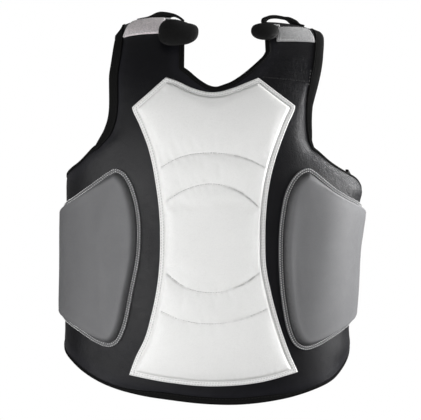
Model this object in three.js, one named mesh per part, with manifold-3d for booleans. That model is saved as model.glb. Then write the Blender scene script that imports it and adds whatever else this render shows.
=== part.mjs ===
// Worn body protector: a padded leather vest with a white strike pad, two grey side pads,
// bound edges, shoulder closures and a plain belt and straps at the back.
// Millimetres, +Z up. The wearer's front faces -Y, +X is to the right as seen from the front.
// Heights in the tables are measured from the middle of the vest; the whole is then lowered
// so that the origin lies midway between the shoulders, where the straps sit on the wearer.
import * as THREE from 'three';
import { mergeVertices } from 'three/addons/utils/BufferGeometryUtils.js';
import Module from 'manifold-3d';

const wasm = await Module();
wasm.setup();

// ---------------------------------------------------------------- driving sizes
const SEAT_HEIGHT = 247;        // from the middle of the vest up to the underside of the shoulder straps
const SQUARENESS = 2.4;         // exponent of the trunk's oval sections (2 is an ellipse)
const WALL = 20;                // padded wall of chest and wings
const STRAP_WALL = 16;          // padded wall on top of the shoulders
const EDGE_WALL = 9;            // wall squeezed flat at the bound edge
const EDGE_FLAT = 8;            // width of the squeezed edge
const EDGE_TAPER = 28;          // distance over which the wall grows to its full thickness
const GAP = 0.5;                // clearance between neighbouring pieces
const TAPE_GAP = 0.4;           // clearance under the edge tape
const TAPE_THICK = 1.6;
const TAPE_LEG = 8.5;           // how far the tape reaches over each face
const NECK_LEG = 4.5;           // narrower at the neckline, clear of the white pad
const WING_END = 122;           // degrees round the trunk from the front to the wing's rear edge
const PAD_FLANGE = 6.5;         // flat sewn border of the pads
const PAD_FLANGE_THICK = 3;
const PAD_SLOPE = 12.5;         // distance from the outline to the top of the padded slope
const PAD_ROOT = -3;             // pads start inside the wall and are then cut to its outer face
const CENTER_PAD_THICK = 14;
const CENTER_PAD_SEAM = 5;      // depth of the sewn channels
const SIDE_PAD_THICK = 11;
const PATCH_THICK = 1.4;
const TAB_BASE = 2.7;           // the shoulder tabs clear the edge tape and the grey patch
const TAB_THICK = 11;
const WEB_THICK = 2.2;          // webbing
const BELT = { from: 110, top: -30, bottom: -140, thick: 3, steps: 26 };
const BACK_STRAP = { width: 32, seatFrom: 335, seatTo: 380, bendZ: -22, endZ: -96 };

const MATERIAL = {
  leather: new THREE.MeshStandardMaterial({ color: 0x2b2b2d, roughness: 0.55, metalness: 0 }),
  white: new THREE.MeshStandardMaterial({ color: 0xdcdcdc, roughness: 0.6, metalness: 0 }),
  grey: new THREE.MeshStandardMaterial({ color: 0x6f6f71, roughness: 0.65, metalness: 0 }),
  tape: new THREE.MeshStandardMaterial({ color: 0x1d1d1f, roughness: 0.8, metalness: 0 }),
  patch: new THREE.MeshStandardMaterial({ color: 0x9a9a9b, roughness: 0.9, metalness: 0 }),
  webbing: new THREE.MeshStandardMaterial({ color: 0x1a1a1b, roughness: 0.85, metalness: 0 }),
};

// ---------------------------------------------------------------- tables
// One row per level of the trunk, then per section over the shoulder. "up" runs up the chest, over the
// shoulder and down behind it. shift: sideways lean; half: half width; front, back: depths from the axis;
// drop: fall of the shoulder towards its outer end; lift: how much higher the left shoulder sits;
// roll: how far the left strap's crown rolls down towards the neck.
const LEVELS = table(['up', 'z', 'shift', 'half', 'front', 'back', 'drop', 'lift', 'roll'], [
  [-262, -262, -7.5, 190.8, 123, 112, 0, 0, 0],
  [-200, -200, -8, 194.8, 131, 116, 0, 0, 0],
  [-150, -150, -7, 196.8, 136, 118, 0, 0, 0],
  [-80, -80, -3, 198.8, 137, 119, 0, 0, 0],
  [0, 0, 0.5, 202.8, 134.5, 119, 0, 0, 0],
  [60, 60, 1.5, 203.8, 135.5, 118, 0, 0, 0],
  [110, 110, 2, 202.8, 132, 115, 0, 0, 0],
  [150, 150, 2, 201.8, 123.5, 110, 0, 0, 0],
  [175, 175, 2, 200.8, 114.5, 105, 0, 0, 0],
  [190, 189, 2, 200.8, 107, 100, 0, 0, 0],
  [205, 203, 2, 200.8, 98, 100, 1.12, 0.5, 0],
  [220, 216, 2, 200.8, 86.5, 100, 2.81, 1.5, 0],
  [235, 228.5, 2, 200.8, 73.5, 100, 5.06, 2.5, 1],
  [250, 240.5, 2, 200.8, 58.5, 100, 7.88, 3.5, 3],
  [265, 250.5, 2, 200.8, 41.5, 100, 10.12, 4.5, 5],
  [280, 258.5, 2, 200.8, 23, 100, 12.38, 4.5, 7],
  [295, 263, 2, 200.8, 4, 100, 13.5, 4.5, 8],
  [310, 263.5, 2, 200.8, -15, 100, 13.5, 4.5, 8],
  [325, 260, 2, 200.8, -33, 100, 12.38, 4.5, 8],
  [340, 252, 2, 200.8, -49.5, 100, 10.12, 4, 6],
  [355, 240.5, 2, 200.8, -62.5, 100, 7.88, 3, 4],
  [370, 226.5, 2, 200.8, -72, 100, 4.5, 2, 2],
  [385, 211.5, 2, 200.8, -78.5, 100, 2.25, 1, 0],
]);
// Outer edge of the shoulder straps, from the armpit corner up and over, and the inner edge by the neck.
const STRAP_EDGES = table(['up', 'outLeft', 'outRight', 'inLeft', 'inRight'], [
  [80, -157, 132, -40, 73],
  [92, -149.5, 127.6, -40, 73],
  [102, -142.6, 127.5, -40, 73],
  [113, -137.3, 127.7, -40, 73],
  [124, -134.6, 128, -40, 73],
  [135, -133.6, 128.7, -40, 73],
  [150, -133.7, 132.5, -40, 73],
  [164, -134.2, 136.5, -40, 73],
  [180, -134.5, 140.4, -40, 73],
  [198, -132.6, 144, -40, 73],
  [217, -130.9, 146.4, -40, 73],
  [240, -129.5, 148.7, -40, 73],
  [262, -129.5, 150, -40, 73],
  [285, -129.5, 148.5, -39, 71.5],
  [305, -128.5, 146, -38.5, 71.5],
  [340, -125, 141, -45, 81],
  [385, -119, 134, -56, 84],
]);
// Hem and top edge of the wings round the trunk, angle in degrees from the front, right positive.
const WING_EDGES = table(['angle', 'hem', 'top'], [
  [-122, -160, 28],
  [-105, -173, 36],
  [-90, -184, 44],
  [-80, -192, 48.5],
  [-71, -200.5, 56.5],
  [-65, -209.8, 64],
  [-57.5, -220.4, 79],
  [-47, -231.5, 90],
  [-36, -238.4, 90],
  [-21, -243.7, 90],
  [0, -248.8, 90],
  [21, -249.5, 90],
  [37, -245.4, 90],
  [49.3, -239.1, 79],
  [57, -232.8, 59.6],
  [66, -223.3, 46.5],
  [73, -211.5, 41.5],
  [80, -200.5, 37.5],
  [90, -187, 32],
  [105, -174, 26],
  [122, -162, 20],
]);
// Neckline between the two straps.
const NECKLINE = table(['x', 'up'], [
  [-40, 187], [-32, 180.6], [-24, 172.6], [-16, 166.2], [-6, 160.2], [4.5, 157.9],
  [15, 161], [25, 165], [36, 172.2], [47, 181.6], [57, 191.6], [64, 199], [69.5, 206], [73, 214],
]);
// White pad: half widths to the left and right.
const PAD_WIDTH = table(['up', 'left', 'right'], [
  [-230, 113, 117], [-212, 107.5, 111], [-189, 98.9, 101], [-168, 88.5, 93], [-137, 79.3, 83], [-106, 72.7, 75],
  [-75, 68.8, 69], [-39, 67.6, 67.6], [-3, 68.8, 68.8], [38, 74, 74], [59, 77.8, 79], [80, 83.1, 85.7],
  [111, 95.1, 97.6], [132, 104.3, 106.6], [150, 104.3, 106.6], [180, 104.3, 106.6],
]);
// White pad: its lower edge, the four sewn channels and its upper edge, each at five places across.
const PAD_CURVES = [
  { name: 'lower_edge', left: -214, midLeft: -223, center: -227.5, midRight: -223.5, right: -211 },
  { name: 'channel_4', left: -124, midLeft: -140, center: -145, midRight: -137.5, right: -122 },
  { name: 'channel_3', left: -72, midLeft: -98, center: -105.5, midRight: -96, right: -73 },
  { name: 'channel_2', left: 3, midLeft: 25.5, center: 33.5, midRight: 22.5, right: -6 },
  { name: 'channel_1', left: 48, midLeft: 67.5, center: 72.5, midRight: 66, right: 48.5 },
];
const PAD_TOP = table(['u', 'up'], [
  [-1, 133], [-0.79, 152.5], [-0.58, 172.3], [-0.45, 167.3], [-0.25, 157.5], [0, 151.9],
  [0.28, 158.9], [0.43, 165.7], [0.555, 171.5], [0.78, 152], [1, 135],
]);
// Grey side pads: outline round the ribs, angle from the front and height, left and right.
const SIDE_OUTLINE = [
  { at: 'top_front', angleL: 47.4, zL: 54.1, angleR: 46, zR: 54.5 },
  { at: 'front_1', angleL: 43.4, zL: 48, angleR: 42, zR: 49.5 },
  { at: 'front_2', angleL: 40.3, zL: 33, angleR: 38.4, zR: 36 },
  { at: 'front_3', angleL: 37.8, zL: 9.2, angleR: 35.8, zR: 15 },
  { at: 'front_4', angleL: 36, zL: -24, angleR: 34.1, zR: -24 },
  { at: 'front_5', angleL: 35.7, zL: -62, angleR: 34.2, zR: -66 },
  { at: 'front_6', angleL: 37.4, zL: -99.8, angleR: 35.8, zR: -106 },
  { at: 'front_7', angleL: 39.4, zL: -139, angleR: 39, zR: -146 },
  { at: 'front_8', angleL: 41.6, zL: -160, angleR: 42.2, zR: -168 },
  { at: 'low_1', angleL: 44.4, zL: -173, angleR: 45.4, zR: -178.4 },
  { at: 'low_2', angleL: 48.6, zL: -178.6, angleR: 49.6, zR: -182.6 },
  { at: 'low_3', angleL: 54.4, zL: -174.6, angleR: 54.8, zR: -178.9 },
  { at: 'low_4', angleL: 63, zL: -162, angleR: 62.7, zR: -168.3 },
  { at: 'low_5', angleL: 72, zL: -153, angleR: 71.5, zR: -159 },
  { at: 'low_6', angleL: 82, zL: -147, angleR: 82, zR: -151 },
  { at: 'low_7', angleL: 93, zL: -140, angleR: 93, zR: -143 },
  { at: 'rear_1', angleL: 102, zL: -132, angleR: 102, zR: -134 },
  { at: 'rear_2', angleL: 106, zL: -118, angleR: 106, zR: -120 },
  { at: 'rear_3', angleL: 107, zL: -68, angleR: 107, zR: -68 },
  { at: 'rear_4', angleL: 106, zL: -20, angleR: 106, zR: -20 },
  { at: 'rear_5', angleL: 102, zL: -7, angleR: 102, zR: -6 },
  { at: 'top_1', angleL: 92, zL: 1, angleR: 92, zR: 2 },
  { at: 'top_2', angleL: 80, zL: 9, angleR: 80, zR: 8.5 },
  { at: 'top_3', angleL: 69, zL: 18.5, angleR: 67.5, zR: 17.5 },
  { at: 'top_4', angleL: 61.4, zL: 30, angleR: 59.4, zR: 28 },
  { at: 'top_5', angleL: 55.5, zL: 41, angleR: 52.5, zR: 42.5 },
  { at: 'top_6', angleL: 51.2, zL: 49.5, angleR: 49, zR: 50.5 },
];
// Grey hook-and-loop bars across the front of each shoulder strap: lower and upper edge at each end.
const PATCHES = [
  { name: 'shoulder_patch_left', outer: -120.2, outerTop: -114.5, inner: -65, outerLow: 241.5, outerHigh: 289, innerLow: 242, innerHigh: 287 },
  { name: 'shoulder_patch_right', outer: 138, outerTop: 132, inner: 80, outerLow: 236.5, outerHigh: 277, innerLow: 231, innerHigh: 262.5 },
];
// Rounded padded ends over the inner end of each bar; slant turns the oval towards the neck.
const TABS = [
  { name: 'shoulder_tab_left', x: -45.7, up: 238.3, halfWide: 26.6, halfHigh: 24.4, slant: -0.09 },
  { name: 'shoulder_tab_right', x: 69.8, up: 242, halfWide: 18.8, halfHigh: 15.8, slant: 0.02 },
];
// Webbing loops on the shoulders: way across (x) and height of the underside above the strap, along the
// front edge (x, h) and along the rear edge (rx, rh): the webbing twists on its way.
const LOOPS = [
  { name: 'strap_loop_left', rows: [
    { x: -105, h: 1, rx: -105, rh: 1 }, { x: -98, h: 1.1, rx: -98, rh: 1.1 }, { x: -91, h: 1.5, rx: -91, rh: 1.2 },
    { x: -84.5, h: 3.4, rx: -84.5, rh: 1.5 }, { x: -79, h: 6.2, rx: -79, rh: 2.8 }, { x: -73, h: 7.8, rx: -73, rh: 4.4 },
    { x: -66, h: 7.2, rx: -66, rh: 5.2 }, { x: -60, h: 6.4, rx: -60, rh: 5.9 }, { x: -54, h: 5.9, rx: -54, rh: 6.6 },
    { x: -49, h: 5, rx: -49, rh: 6.2 }, { x: -43.5, h: 3.6, rx: -43.5, rh: 4.8 }] },
  { name: 'strap_loop_right', rows: [
    { x: 71.5, h: 2.9, rx: 74.9, rh: 2.9 }, { x: 72.5, h: 4.8, rx: 76, rh: 4.6 }, { x: 77, h: 6.9, rx: 79.5, rh: 6.8 },
    { x: 85, h: 8.2, rx: 86, rh: 8.2 }, { x: 96, h: 7.6, rx: 96, rh: 8 }, { x: 104, h: 6.4, rx: 103.5, rh: 6.9 },
    { x: 109, h: 5.3, rx: 107.5, rh: 4 }, { x: 114, h: 3.8, rx: 112, rh: 1.9 }, { x: 118.5, h: 2, rx: 117, rh: 1.2 },
    { x: 122, h: 1.1, rx: 121.5, rh: 1.1 }, { x: 128, h: 1, rx: 128, rh: 1 }] },
];
const LOOP_SPAN = { from: 301.5, width: 15 };   // where the loops' front edge lies, and the width of their webbing
// Small webbing end inside the right wing: e is height above the wing's edge, n depth from its outer face.
const WING_TAB = { angle: 75, width: 36, rows: [
  { e: 12, n: -13.8 }, { e: 4, n: -14 }, { e: -9, n: -15.4 }, { e: -20, n: -20 }, { e: -30, n: -25.5 }] };

// ---------------------------------------------------------------- small helpers
function table(columns, rows) {
  // Smooth curve through the rows; the first column is the key.
  const key = rows.map((r) => r[0]);
  const slope = rows.map((r, i) => columns.map((_, c) => {
    if (i === 0) return (rows[1][c] - r[c]) / (key[1] - key[0]);
    if (i === rows.length - 1) return (r[c] - rows[i - 1][c]) / (key[i] - key[i - 1]);
    const before = key[i] - key[i - 1], after = key[i + 1] - key[i];
    return ((r[c] - rows[i - 1][c]) / before * after + (rows[i + 1][c] - r[c]) / after * before) / (before + after);
  }));
  return (q) => {
    let i = 0;
    while (i < key.length - 2 && q > key[i + 1]) i += 1;
    const span = key[i + 1] - key[i];
    const s = Math.min(1.4, Math.max(-0.4, (q - key[i]) / span));
    const h00 = 2 * s ** 3 - 3 * s ** 2 + 1, h10 = s ** 3 - 2 * s ** 2 + s, h01 = 3 * s ** 2 - 2 * s ** 3, h11 = s ** 3 - s ** 2;
    const out = {};
    columns.forEach((name, c) => {
      out[name] = h00 * rows[i][c] + h10 * span * slope[i][c] + h01 * rows[i + 1][c] + h11 * span * slope[i + 1][c];
    });
    return out;
  };
}
const rad = (deg) => (deg * Math.PI) / 180;
const lerp = (a, b, f) => a + (b - a) * f;
const clamp = (v, lo, hi) => Math.min(hi, Math.max(lo, v));
const smooth = (f) => { const s = clamp(f, 0, 1); return s * s * (3 - 2 * s); };
const V = (x, y, z) => new THREE.Vector3(x, y, z);
const along = (p, dir, d) => p.clone().addScaledVector(dir, d);

// ---------------------------------------------------------------- the vest's outer face
// By sideways place and way up the chest, over the shoulder.
function chest(x, up) {
  const L = LEVELS(up);
  const depth = Math.pow(Math.max(1e-6, 1 - Math.pow(Math.abs((x - L.shift) / L.half), SQUARENESS)), 1 / SQUARENESS);
  const out = x < 0 ? clamp((-x - 40) / 92, 0, 1.3) : clamp((x - 70) / 78, 0, 1.3);
  const fall = x < 0 ? 1.2 * Math.pow(out, 4) + 0.45 * Math.pow(out, 12) : Math.pow(out, 2.2), neckward = x < 0 ? clamp((x + 66) / 26, 0, 1.2) : 0;
  return V(x, -L.front * depth, L.z - L.drop * fall - L.lift * (x < 0 ? 1 : 0.25) * Math.tanh(x / 40) - L.roll * neckward * neckward);
}
// By angle round the trunk and height.
function trunk(angle, z) {
  const L = LEVELS(z), s = Math.sin(rad(angle)), c = Math.cos(rad(angle));
  const r = Math.pow(Math.pow(Math.abs(s / L.half), SQUARENESS) + Math.pow(Math.abs(c / (c > 0 ? L.front : L.back)), SQUARENESS), -1 / SQUARENESS);
  return V(L.shift + r * s, -r * c, z);
}
function normalOf(face, a, b, da, db) {
  const u = face(a + da, b).sub(face(a - da, b)), v = face(a, b + db).sub(face(a, b - db));
  return u.cross(v).normalize();
}
const onChest = (x, up) => ({ p: chest(x, up), n: normalOf(chest, x, up, 0.5, 0.5) });
const onTrunk = (angle, z) => ({ p: trunk(angle, z), n: normalOf(trunk, angle, z, 0.2, 0.5) });
const lifted = (spot, h) => along(spot.p, spot.n, h);
function angleAt(x, z) {
  // Angle round the front at which the trunk reaches a sideways place.
  let lo = -90, hi = 90;
  for (let i = 0; i < 40; i += 1) {
    const mid = (lo + hi) / 2;
    if (trunk(mid, z).x < x) lo = mid; else hi = mid;
  }
  return (lo + hi) / 2;
}

// ---------------------------------------------------------------- closed meshes
class Solid {
  constructor() { this.points = []; this.faces = []; }
  add(p) { this.points.push(p); return this.points.length - 1; }
  quad(a, b, c, d) { this.faces.push([a, b, c], [a, c, d]); }
  body() {
    // The closed body, for cutting.
    const geometry = this.mesh('', null).geometry;
    geometry.deleteAttribute('normal');
    const merged = mergeVertices(geometry, 1e-4);
    return new wasm.Manifold(new wasm.Mesh({
      numProp: 3, vertProperties: new Float32Array(merged.attributes.position.array), triVerts: new Uint32Array(merged.index.array) }));
  }
  without(other) {
    // What is left of this solid outside another one.
    const cut = this.body().subtract(other), pieces = cut.decompose();
    const kept = pieces.reduce((a, b) => (b.volume() > a.volume() ? b : a)).getMesh(), left = new Solid();
    for (let i = 0; i < kept.numVert; i += 1) left.add(V(...kept.vertProperties.slice(i * kept.numProp, i * kept.numProp + 3)));
    for (let i = 0; i < kept.numTri; i += 1) left.faces.push([...kept.triVerts.slice(i * 3, i * 3 + 3)]);
    return left;
  }
  mesh(name, material) {
    const position = new Float32Array(this.faces.length * 9);
    let volume = 0;
    for (const [a, b, c] of this.faces) volume += this.points[a].dot(this.points[b].clone().cross(this.points[c]));
    this.faces.forEach((f, i) => {
      const order = volume > 0 ? f : [f[0], f[2], f[1]];
      order.forEach((k, j) => this.points[k].toArray(position, i * 9 + j * 3));
    });
    const geometry = new THREE.BufferGeometry();
    geometry.setAttribute('position', new THREE.BufferAttribute(position, 3));
    geometry.computeVertexNormals();
    const mesh = new THREE.Mesh(geometry, material);
    mesh.name = name;
    return mesh;
  }
}
// A plate over a grid of places: lower and upper heights above the vest's face.
function plate(spots, low, high) {
  const solid = new Solid(), rows = spots.length, cols = spots[0].length;
  const lower = spots.map((r, i) => r.map((s, j) => solid.add(lifted(s, low(i, j)))));
  const upper = spots.map((r, i) => r.map((s, j) => solid.add(lifted(s, high(i, j)))));
  for (let i = 0; i + 1 < rows; i += 1) {
    for (let j = 0; j + 1 < cols; j += 1) {
      solid.quad(upper[i][j], upper[i][j + 1], upper[i + 1][j + 1], upper[i + 1][j]);
      solid.quad(lower[i][j], lower[i + 1][j], lower[i + 1][j + 1], lower[i][j + 1]);
    }
  }
  const rim = [];
  for (let j = 0; j < cols; j += 1) rim.push([0, j]);
  for (let i = 1; i < rows; i += 1) rim.push([i, cols - 1]);
  for (let j = cols - 2; j >= 0; j -= 1) rim.push([rows - 1, j]);
  for (let i = rows - 2; i > 0; i -= 1) rim.push([i, 0]);
  rim.forEach(([i, j], k) => {
    const [m, n] = rim[(k + 1) % rim.length];
    solid.quad(lower[i][j], lower[m][n], upper[m][n], upper[i][j]);
  });
  return solid;
}
// A cushion built from closed rings of places, outside to inside, ending in one middle place.
function cushion(rings, middle, base, heights, middleHeight) {
  const solid = new Solid(), count = rings[0].length;
  const lower = rings.map((ring) => ring.map((s) => solid.add(lifted(s, base))));
  const upper = rings.map((ring, i) => ring.map((s) => solid.add(lifted(s, heights[i]))));
  const under = solid.add(lifted(middle, base)), over = solid.add(lifted(middle, middleHeight));
  for (let j = 0; j < count; j += 1) {
    const k = (j + 1) % count;
    solid.quad(lower[0][j], lower[0][k], upper[0][k], upper[0][j]);
    for (let i = 0; i + 1 < rings.length; i += 1) {
      solid.quad(upper[i][j], upper[i][k], upper[i + 1][k], upper[i + 1][j]);
      solid.quad(lower[i][k], lower[i][j], lower[i + 1][j], lower[i + 1][k]);
    }
    const last = rings.length - 1;
    solid.faces.push([upper[last][j], upper[last][k], over], [lower[last][k], lower[last][j], under]);
  }
  return solid;
}
// A strip with a four-cornered section carried along a list of sections.
function strip(sections) {
  const solid = new Solid(), corners = sections[0].length;
  const rows = sections.map((s) => s.map((p) => solid.add(p)));
  for (let i = 0; i + 1 < rows.length; i += 1) {
    for (let j = 0; j < corners; j += 1) {
      const k = (j + 1) % corners;
      solid.quad(rows[i][j], rows[i][k], rows[i + 1][k], rows[i + 1][j]);
    }
  }
  return { solid, first: rows[0], last: rows[rows.length - 1] };
}
function capQuad({ solid, first, last }) {
  solid.quad(first[3], first[2], first[1], first[0]);
  solid.quad(last[0], last[1], last[2], last[3]);
  return solid;
}

// ---------------------------------------------------------------- the padded shell
const BODY_ROWS = [0, 0.03, 0.1, 0.2, 0.3, 0.4, 0.5, 0.6, 0.7, 0.8, 0.9, 0.97, 1];   // hem to armpit
const CHEST_ROWS = [0, 0.09, 0.2, 0.36, 0.55, 0.75, 0.91, 1];                         // armpit to neckline
const STRAP_ROWS = [0, 0.1, 0.19, 0.28, 0.37, 0.46, 0.55, 0.64, 0.73, 0.82, 0.91, 1]; // neckline over the shoulder
const WING_COLUMNS = [0, 0.14, 0.28, 0.42, 0.56, 0.7, 0.82, 0.92, 1];                  // rear edge to armpit
const CENTER_COLUMNS = 6;
const STRAP_COLUMNS = { left: [0, 0.1, 0.3, 0.5, 0.7, 0.9, 1], right: [0, 0.15, 0.38, 0.62, 0.85, 1] };
const ARMPIT = { left: { angle: -57.5, x: -154.5, up: 84 }, right: { angle: 49.3, x: 132, up: 80 } };
const CHEST_LEVEL = 96;         // height at which the middle of the chest meets the armpit row
const STRAP_END = 385;

const armRow = BODY_ROWS.length - 1;
const neckRow = armRow + CHEST_ROWS.length - 1;
const lastRow = neckRow + STRAP_ROWS.length - 1;
const shell = new Solid();
const spots = [];               // place, normal and rim distance of every grid point
const keep = (spot) => { spots.push(spot); return spots.length - 1; };

const hemAt = (x) => WING_EDGES(angleAt(x, -230)).hem;
const sides = { left: {}, right: {} };
for (const side of ['left', 'right']) {
  const A = ARMPIT[side], S = side === 'left' ? 'Left' : 'Right';
  const inner = STRAP_EDGES(150)[`in${S}`];
  const outward = side === 'left' ? -1 : 1;
  A.x = trunk(A.angle, A.up).x;
  // Wing: columns from the rear edge to the armpit line.
  const wing = [];
  for (const w of WING_COLUMNS) {
    const angle = lerp(outward * WING_END, A.angle, w), edge = WING_EDGES(angle);
    const top = w === 1 ? A.up : edge.top;
    wing.push(BODY_ROWS.map((f) => keep(onTrunk(angle, lerp(edge.hem, top, f)))));
  }
  // Chest and strap: columns from the armpit line and armhole to the neck side.
  const fractions = STRAP_COLUMNS[side], neckUp = NECKLINE(inner).up;
  const strap = fractions.map((w, j) => {
    const column = [];
    for (let k = 0; k <= lastRow; k += 1) {
      if (k <= armRow) {
        if (j === 0) { column.push(wing.at(-1)[k]); continue; }
        const f = BODY_ROWS[k], zLine = lerp(WING_EDGES(A.angle).hem, A.up, f);
        const x = lerp(trunk(A.angle, zLine).x, inner, w);
        column.push(keep(onChest(x, lerp(hemAt(x), lerp(A.up, CHEST_LEVEL, w), f))));
      } else {
        const onNeck = k > neckRow;
        const f = onNeck ? STRAP_ROWS[k - neckRow] : CHEST_ROWS[k - armRow];
        const outUp = onNeck ? lerp(neckUp, STRAP_END, f) : lerp(A.up, neckUp, f);
        const inUp = onNeck ? lerp(neckUp, STRAP_END, f) : lerp(CHEST_LEVEL, neckUp, f);
        const x = lerp(STRAP_EDGES(outUp)[`out${S}`], onNeck ? STRAP_EDGES(inUp)[`in${S}`] : inner, w);
        column.push(keep(onChest(x, lerp(outUp, inUp, w))));
      }
    }
    return column;
  });
  sides[side] = { wing, strap };
}
// Middle of the chest, under the neckline, between the two strap columns.
const middle = [];
for (let j = 0; j <= CENTER_COLUMNS; j += 1) {
  const leftLine = sides.left.strap.at(-1), rightLine = sides.right.strap.at(-1);
  if (j === 0) { middle.push(leftLine.slice(0, neckRow + 1)); continue; }
  if (j === CENTER_COLUMNS) { middle.push(rightLine.slice(0, neckRow + 1)); continue; }
  const x = lerp(STRAP_EDGES(150).inLeft, STRAP_EDGES(150).inRight, j / CENTER_COLUMNS), hem = hemAt(x), neck = NECKLINE(x).up;
  const column = [];
  for (let k = 0; k <= neckRow; k += 1) {
    column.push(keep(onChest(x, k <= armRow ? lerp(hem, CHEST_LEVEL, BODY_ROWS[k]) : lerp(CHEST_LEVEL, neck, CHEST_ROWS[k - armRow]))));
  }
  middle.push(column);
}
// Rim lines: each entry is a rim point and the grid point just inside it.
const rim = { hem: [], neck: [], left: [], right: [] };
const back = { left: [], right: [] }, strapEnd = { left: [], right: [] };
for (const side of ['left', 'right']) {
  const { wing, strap } = sides[side];
  wing.forEach((column, j) => {
    if (j + 1 < wing.length) rim[side].push([column[armRow], column[armRow - 1]]);
  });
  rim[side].push([strap[0][armRow], strap[1][armRow - 1]]);
  for (let k = armRow + 1; k <= lastRow; k += 1) rim[side].push([strap[0][k], strap[1][k]]);
  wing[0].forEach((id, k) => back[side].push([id, wing[1][k]]));
  strap.forEach((column) => strapEnd[side].push([column[lastRow], column[lastRow - 1]]));
}
for (const column of [...sides.left.wing, ...sides.left.strap.slice(1), ...middle.slice(1, -1),
  ...sides.right.strap.slice(1).reverse(), ...sides.right.wing.slice().reverse()]) rim.hem.push([column[0], column[1]]);
const neckSide = (side) => {
  const { strap } = sides[side], list = [];
  for (let k = lastRow; k > neckRow; k -= 1) list.push([strap.at(-1)[k], strap.at(-2)[k]]);
  list.push([strap.at(-1)[neckRow], strap.at(-2)[neckRow - 1]]);
  return list;
};
rim.neck = [...neckSide('left'), ...middle.slice(1, -1).map((c) => [c[neckRow], c[neckRow - 1]]), ...neckSide('right').reverse()];

// Wall thickness grows from the squeezed edge to the full padding.
const rimPoints = [rim.hem, rim.neck, rim.left, rim.right, back.left, back.right, strapEnd.left, strapEnd.right].map((line) => line.map(([id]) => spots[id].p));
function rimDistance(p) {
  let best = Infinity;
  const closest = new THREE.Vector3(), segment = new THREE.Line3();
  for (const line of rimPoints) {
    for (let i = 0; i + 1 < line.length; i += 1) {
      segment.set(line[i], line[i + 1]).closestPointToPoint(p, true, closest);
      best = Math.min(best, closest.distanceTo(p));
    }
  }
  return best;
}
for (const spot of spots) {
  const full = lerp(WALL, STRAP_WALL, smooth((spot.p.z - 150) / 70));
  spot.wall = lerp(EDGE_WALL, full, smooth((rimDistance(spot.p) - EDGE_FLAT) / EDGE_TAPER));
  spot.outer = shell.add(spot.p);
  spot.inner = shell.add(lifted(spot, -spot.wall));
}
function wallGrid(columns, flip) {
  for (let j = 0; j + 1 < columns.length; j += 1) {
    const rows = Math.min(columns[j].length, columns[j + 1].length);
    for (let k = 0; k + 1 < rows; k += 1) {
      const ids = [columns[j][k], columns[j + 1][k], columns[j + 1][k + 1], columns[j][k + 1]];
      const loop = flip ? ids.slice().reverse() : ids;
      shell.quad(...loop.map((id) => spots[id].outer));
      shell.quad(...loop.slice().reverse().map((id) => spots[id].inner));
    }
  }
}
wallGrid([...sides.left.wing], false);
wallGrid([...sides.left.strap], false);
wallGrid(middle, false);
wallGrid([...sides.right.strap], true);
wallGrid([...sides.right.wing], true);
// Close the wall all round: every outer edge used once gets a rim face.
{
  const edges = new Map();
  const isOuter = new Map(spots.map((s) => [s.outer, s]));
  for (const [a, b, c] of shell.faces) {
    if (!isOuter.has(a)) continue;
    for (const [p, q] of [[a, b], [b, c], [c, a]]) {
      const back2 = `${q},${p}`;
      if (edges.has(back2)) edges.delete(back2); else edges.set(`${p},${q}`, [p, q]);
    }
  }
  for (const [p, q] of edges.values()) shell.quad(q, p, isOuter.get(p).inner, isOuter.get(q).inner);
}

// The shell with its clearance all round, which its neighbours are cut by.
function grown(gap) {
  const away = spots.map(() => new THREE.Vector3());
  for (const line of [rim.hem, rim.neck, rim.left, rim.right, back.left, back.right, strapEnd.left, strapEnd.right]) {
    for (const [id, inside] of line) away[id].copy(spots[id].p).sub(spots[inside].p).setLength(gap);
  }
  const bigger = new Solid();
  shell.points.forEach((p) => bigger.add(p.clone()));
  bigger.faces = shell.faces;
  spots.forEach((s, i) => {
    bigger.points[s.outer].addScaledVector(s.n, gap).add(away[i]);
    bigger.points[s.inner].addScaledVector(s.n, -gap).add(away[i]);
  });
  return bigger.body();
}
const CLEAR = grown(0.35);

// ---------------------------------------------------------------- edge tape
function tape(line, leg) {
  const sections = line.map(([id, inside]) => {
    const s = spots[id], t = spots[inside];
    const out = shell.points[s.outer], inn = shell.points[s.inner];
    const e = shell.points[t.outer].clone().sub(out).normalize(), f = shell.points[t.inner].clone().sub(inn).normalize();
    const n = s.n, g = TAPE_GAP, th = TAPE_THICK;
    const at = (p, dir, d, h) => along(along(p, dir, d), n, h);
    return [
      at(out, e, leg, g), at(out, e, -g, g), at(inn, f, -g, -g), at(inn, f, leg, -g - 0.4),
      at(inn, f, leg, -g - th - 0.4), at(inn, f, -g - th * 0.4, -g - th), at(inn, f, -g - th, 0.6),
      at(out, e, -g - th, -0.6), at(out, e, -g - th * 0.4, g + th * 0.9), at(out, e, leg, g + th),
    ];
  });
  const swept = strip(sections);
  for (const [ring, flip] of [[swept.first, true], [swept.last, false]]) {
    for (const q of [[0, 1, 8, 9], [1, 2, 7, 8], [2, 5, 6, 7], [2, 3, 4, 5]]) {
      const ids = q.map((k) => ring[k]);
      swept.solid.quad(...(flip ? ids.reverse() : ids));
    }
  }
  return swept.solid.without(CLEAR);
}

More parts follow.
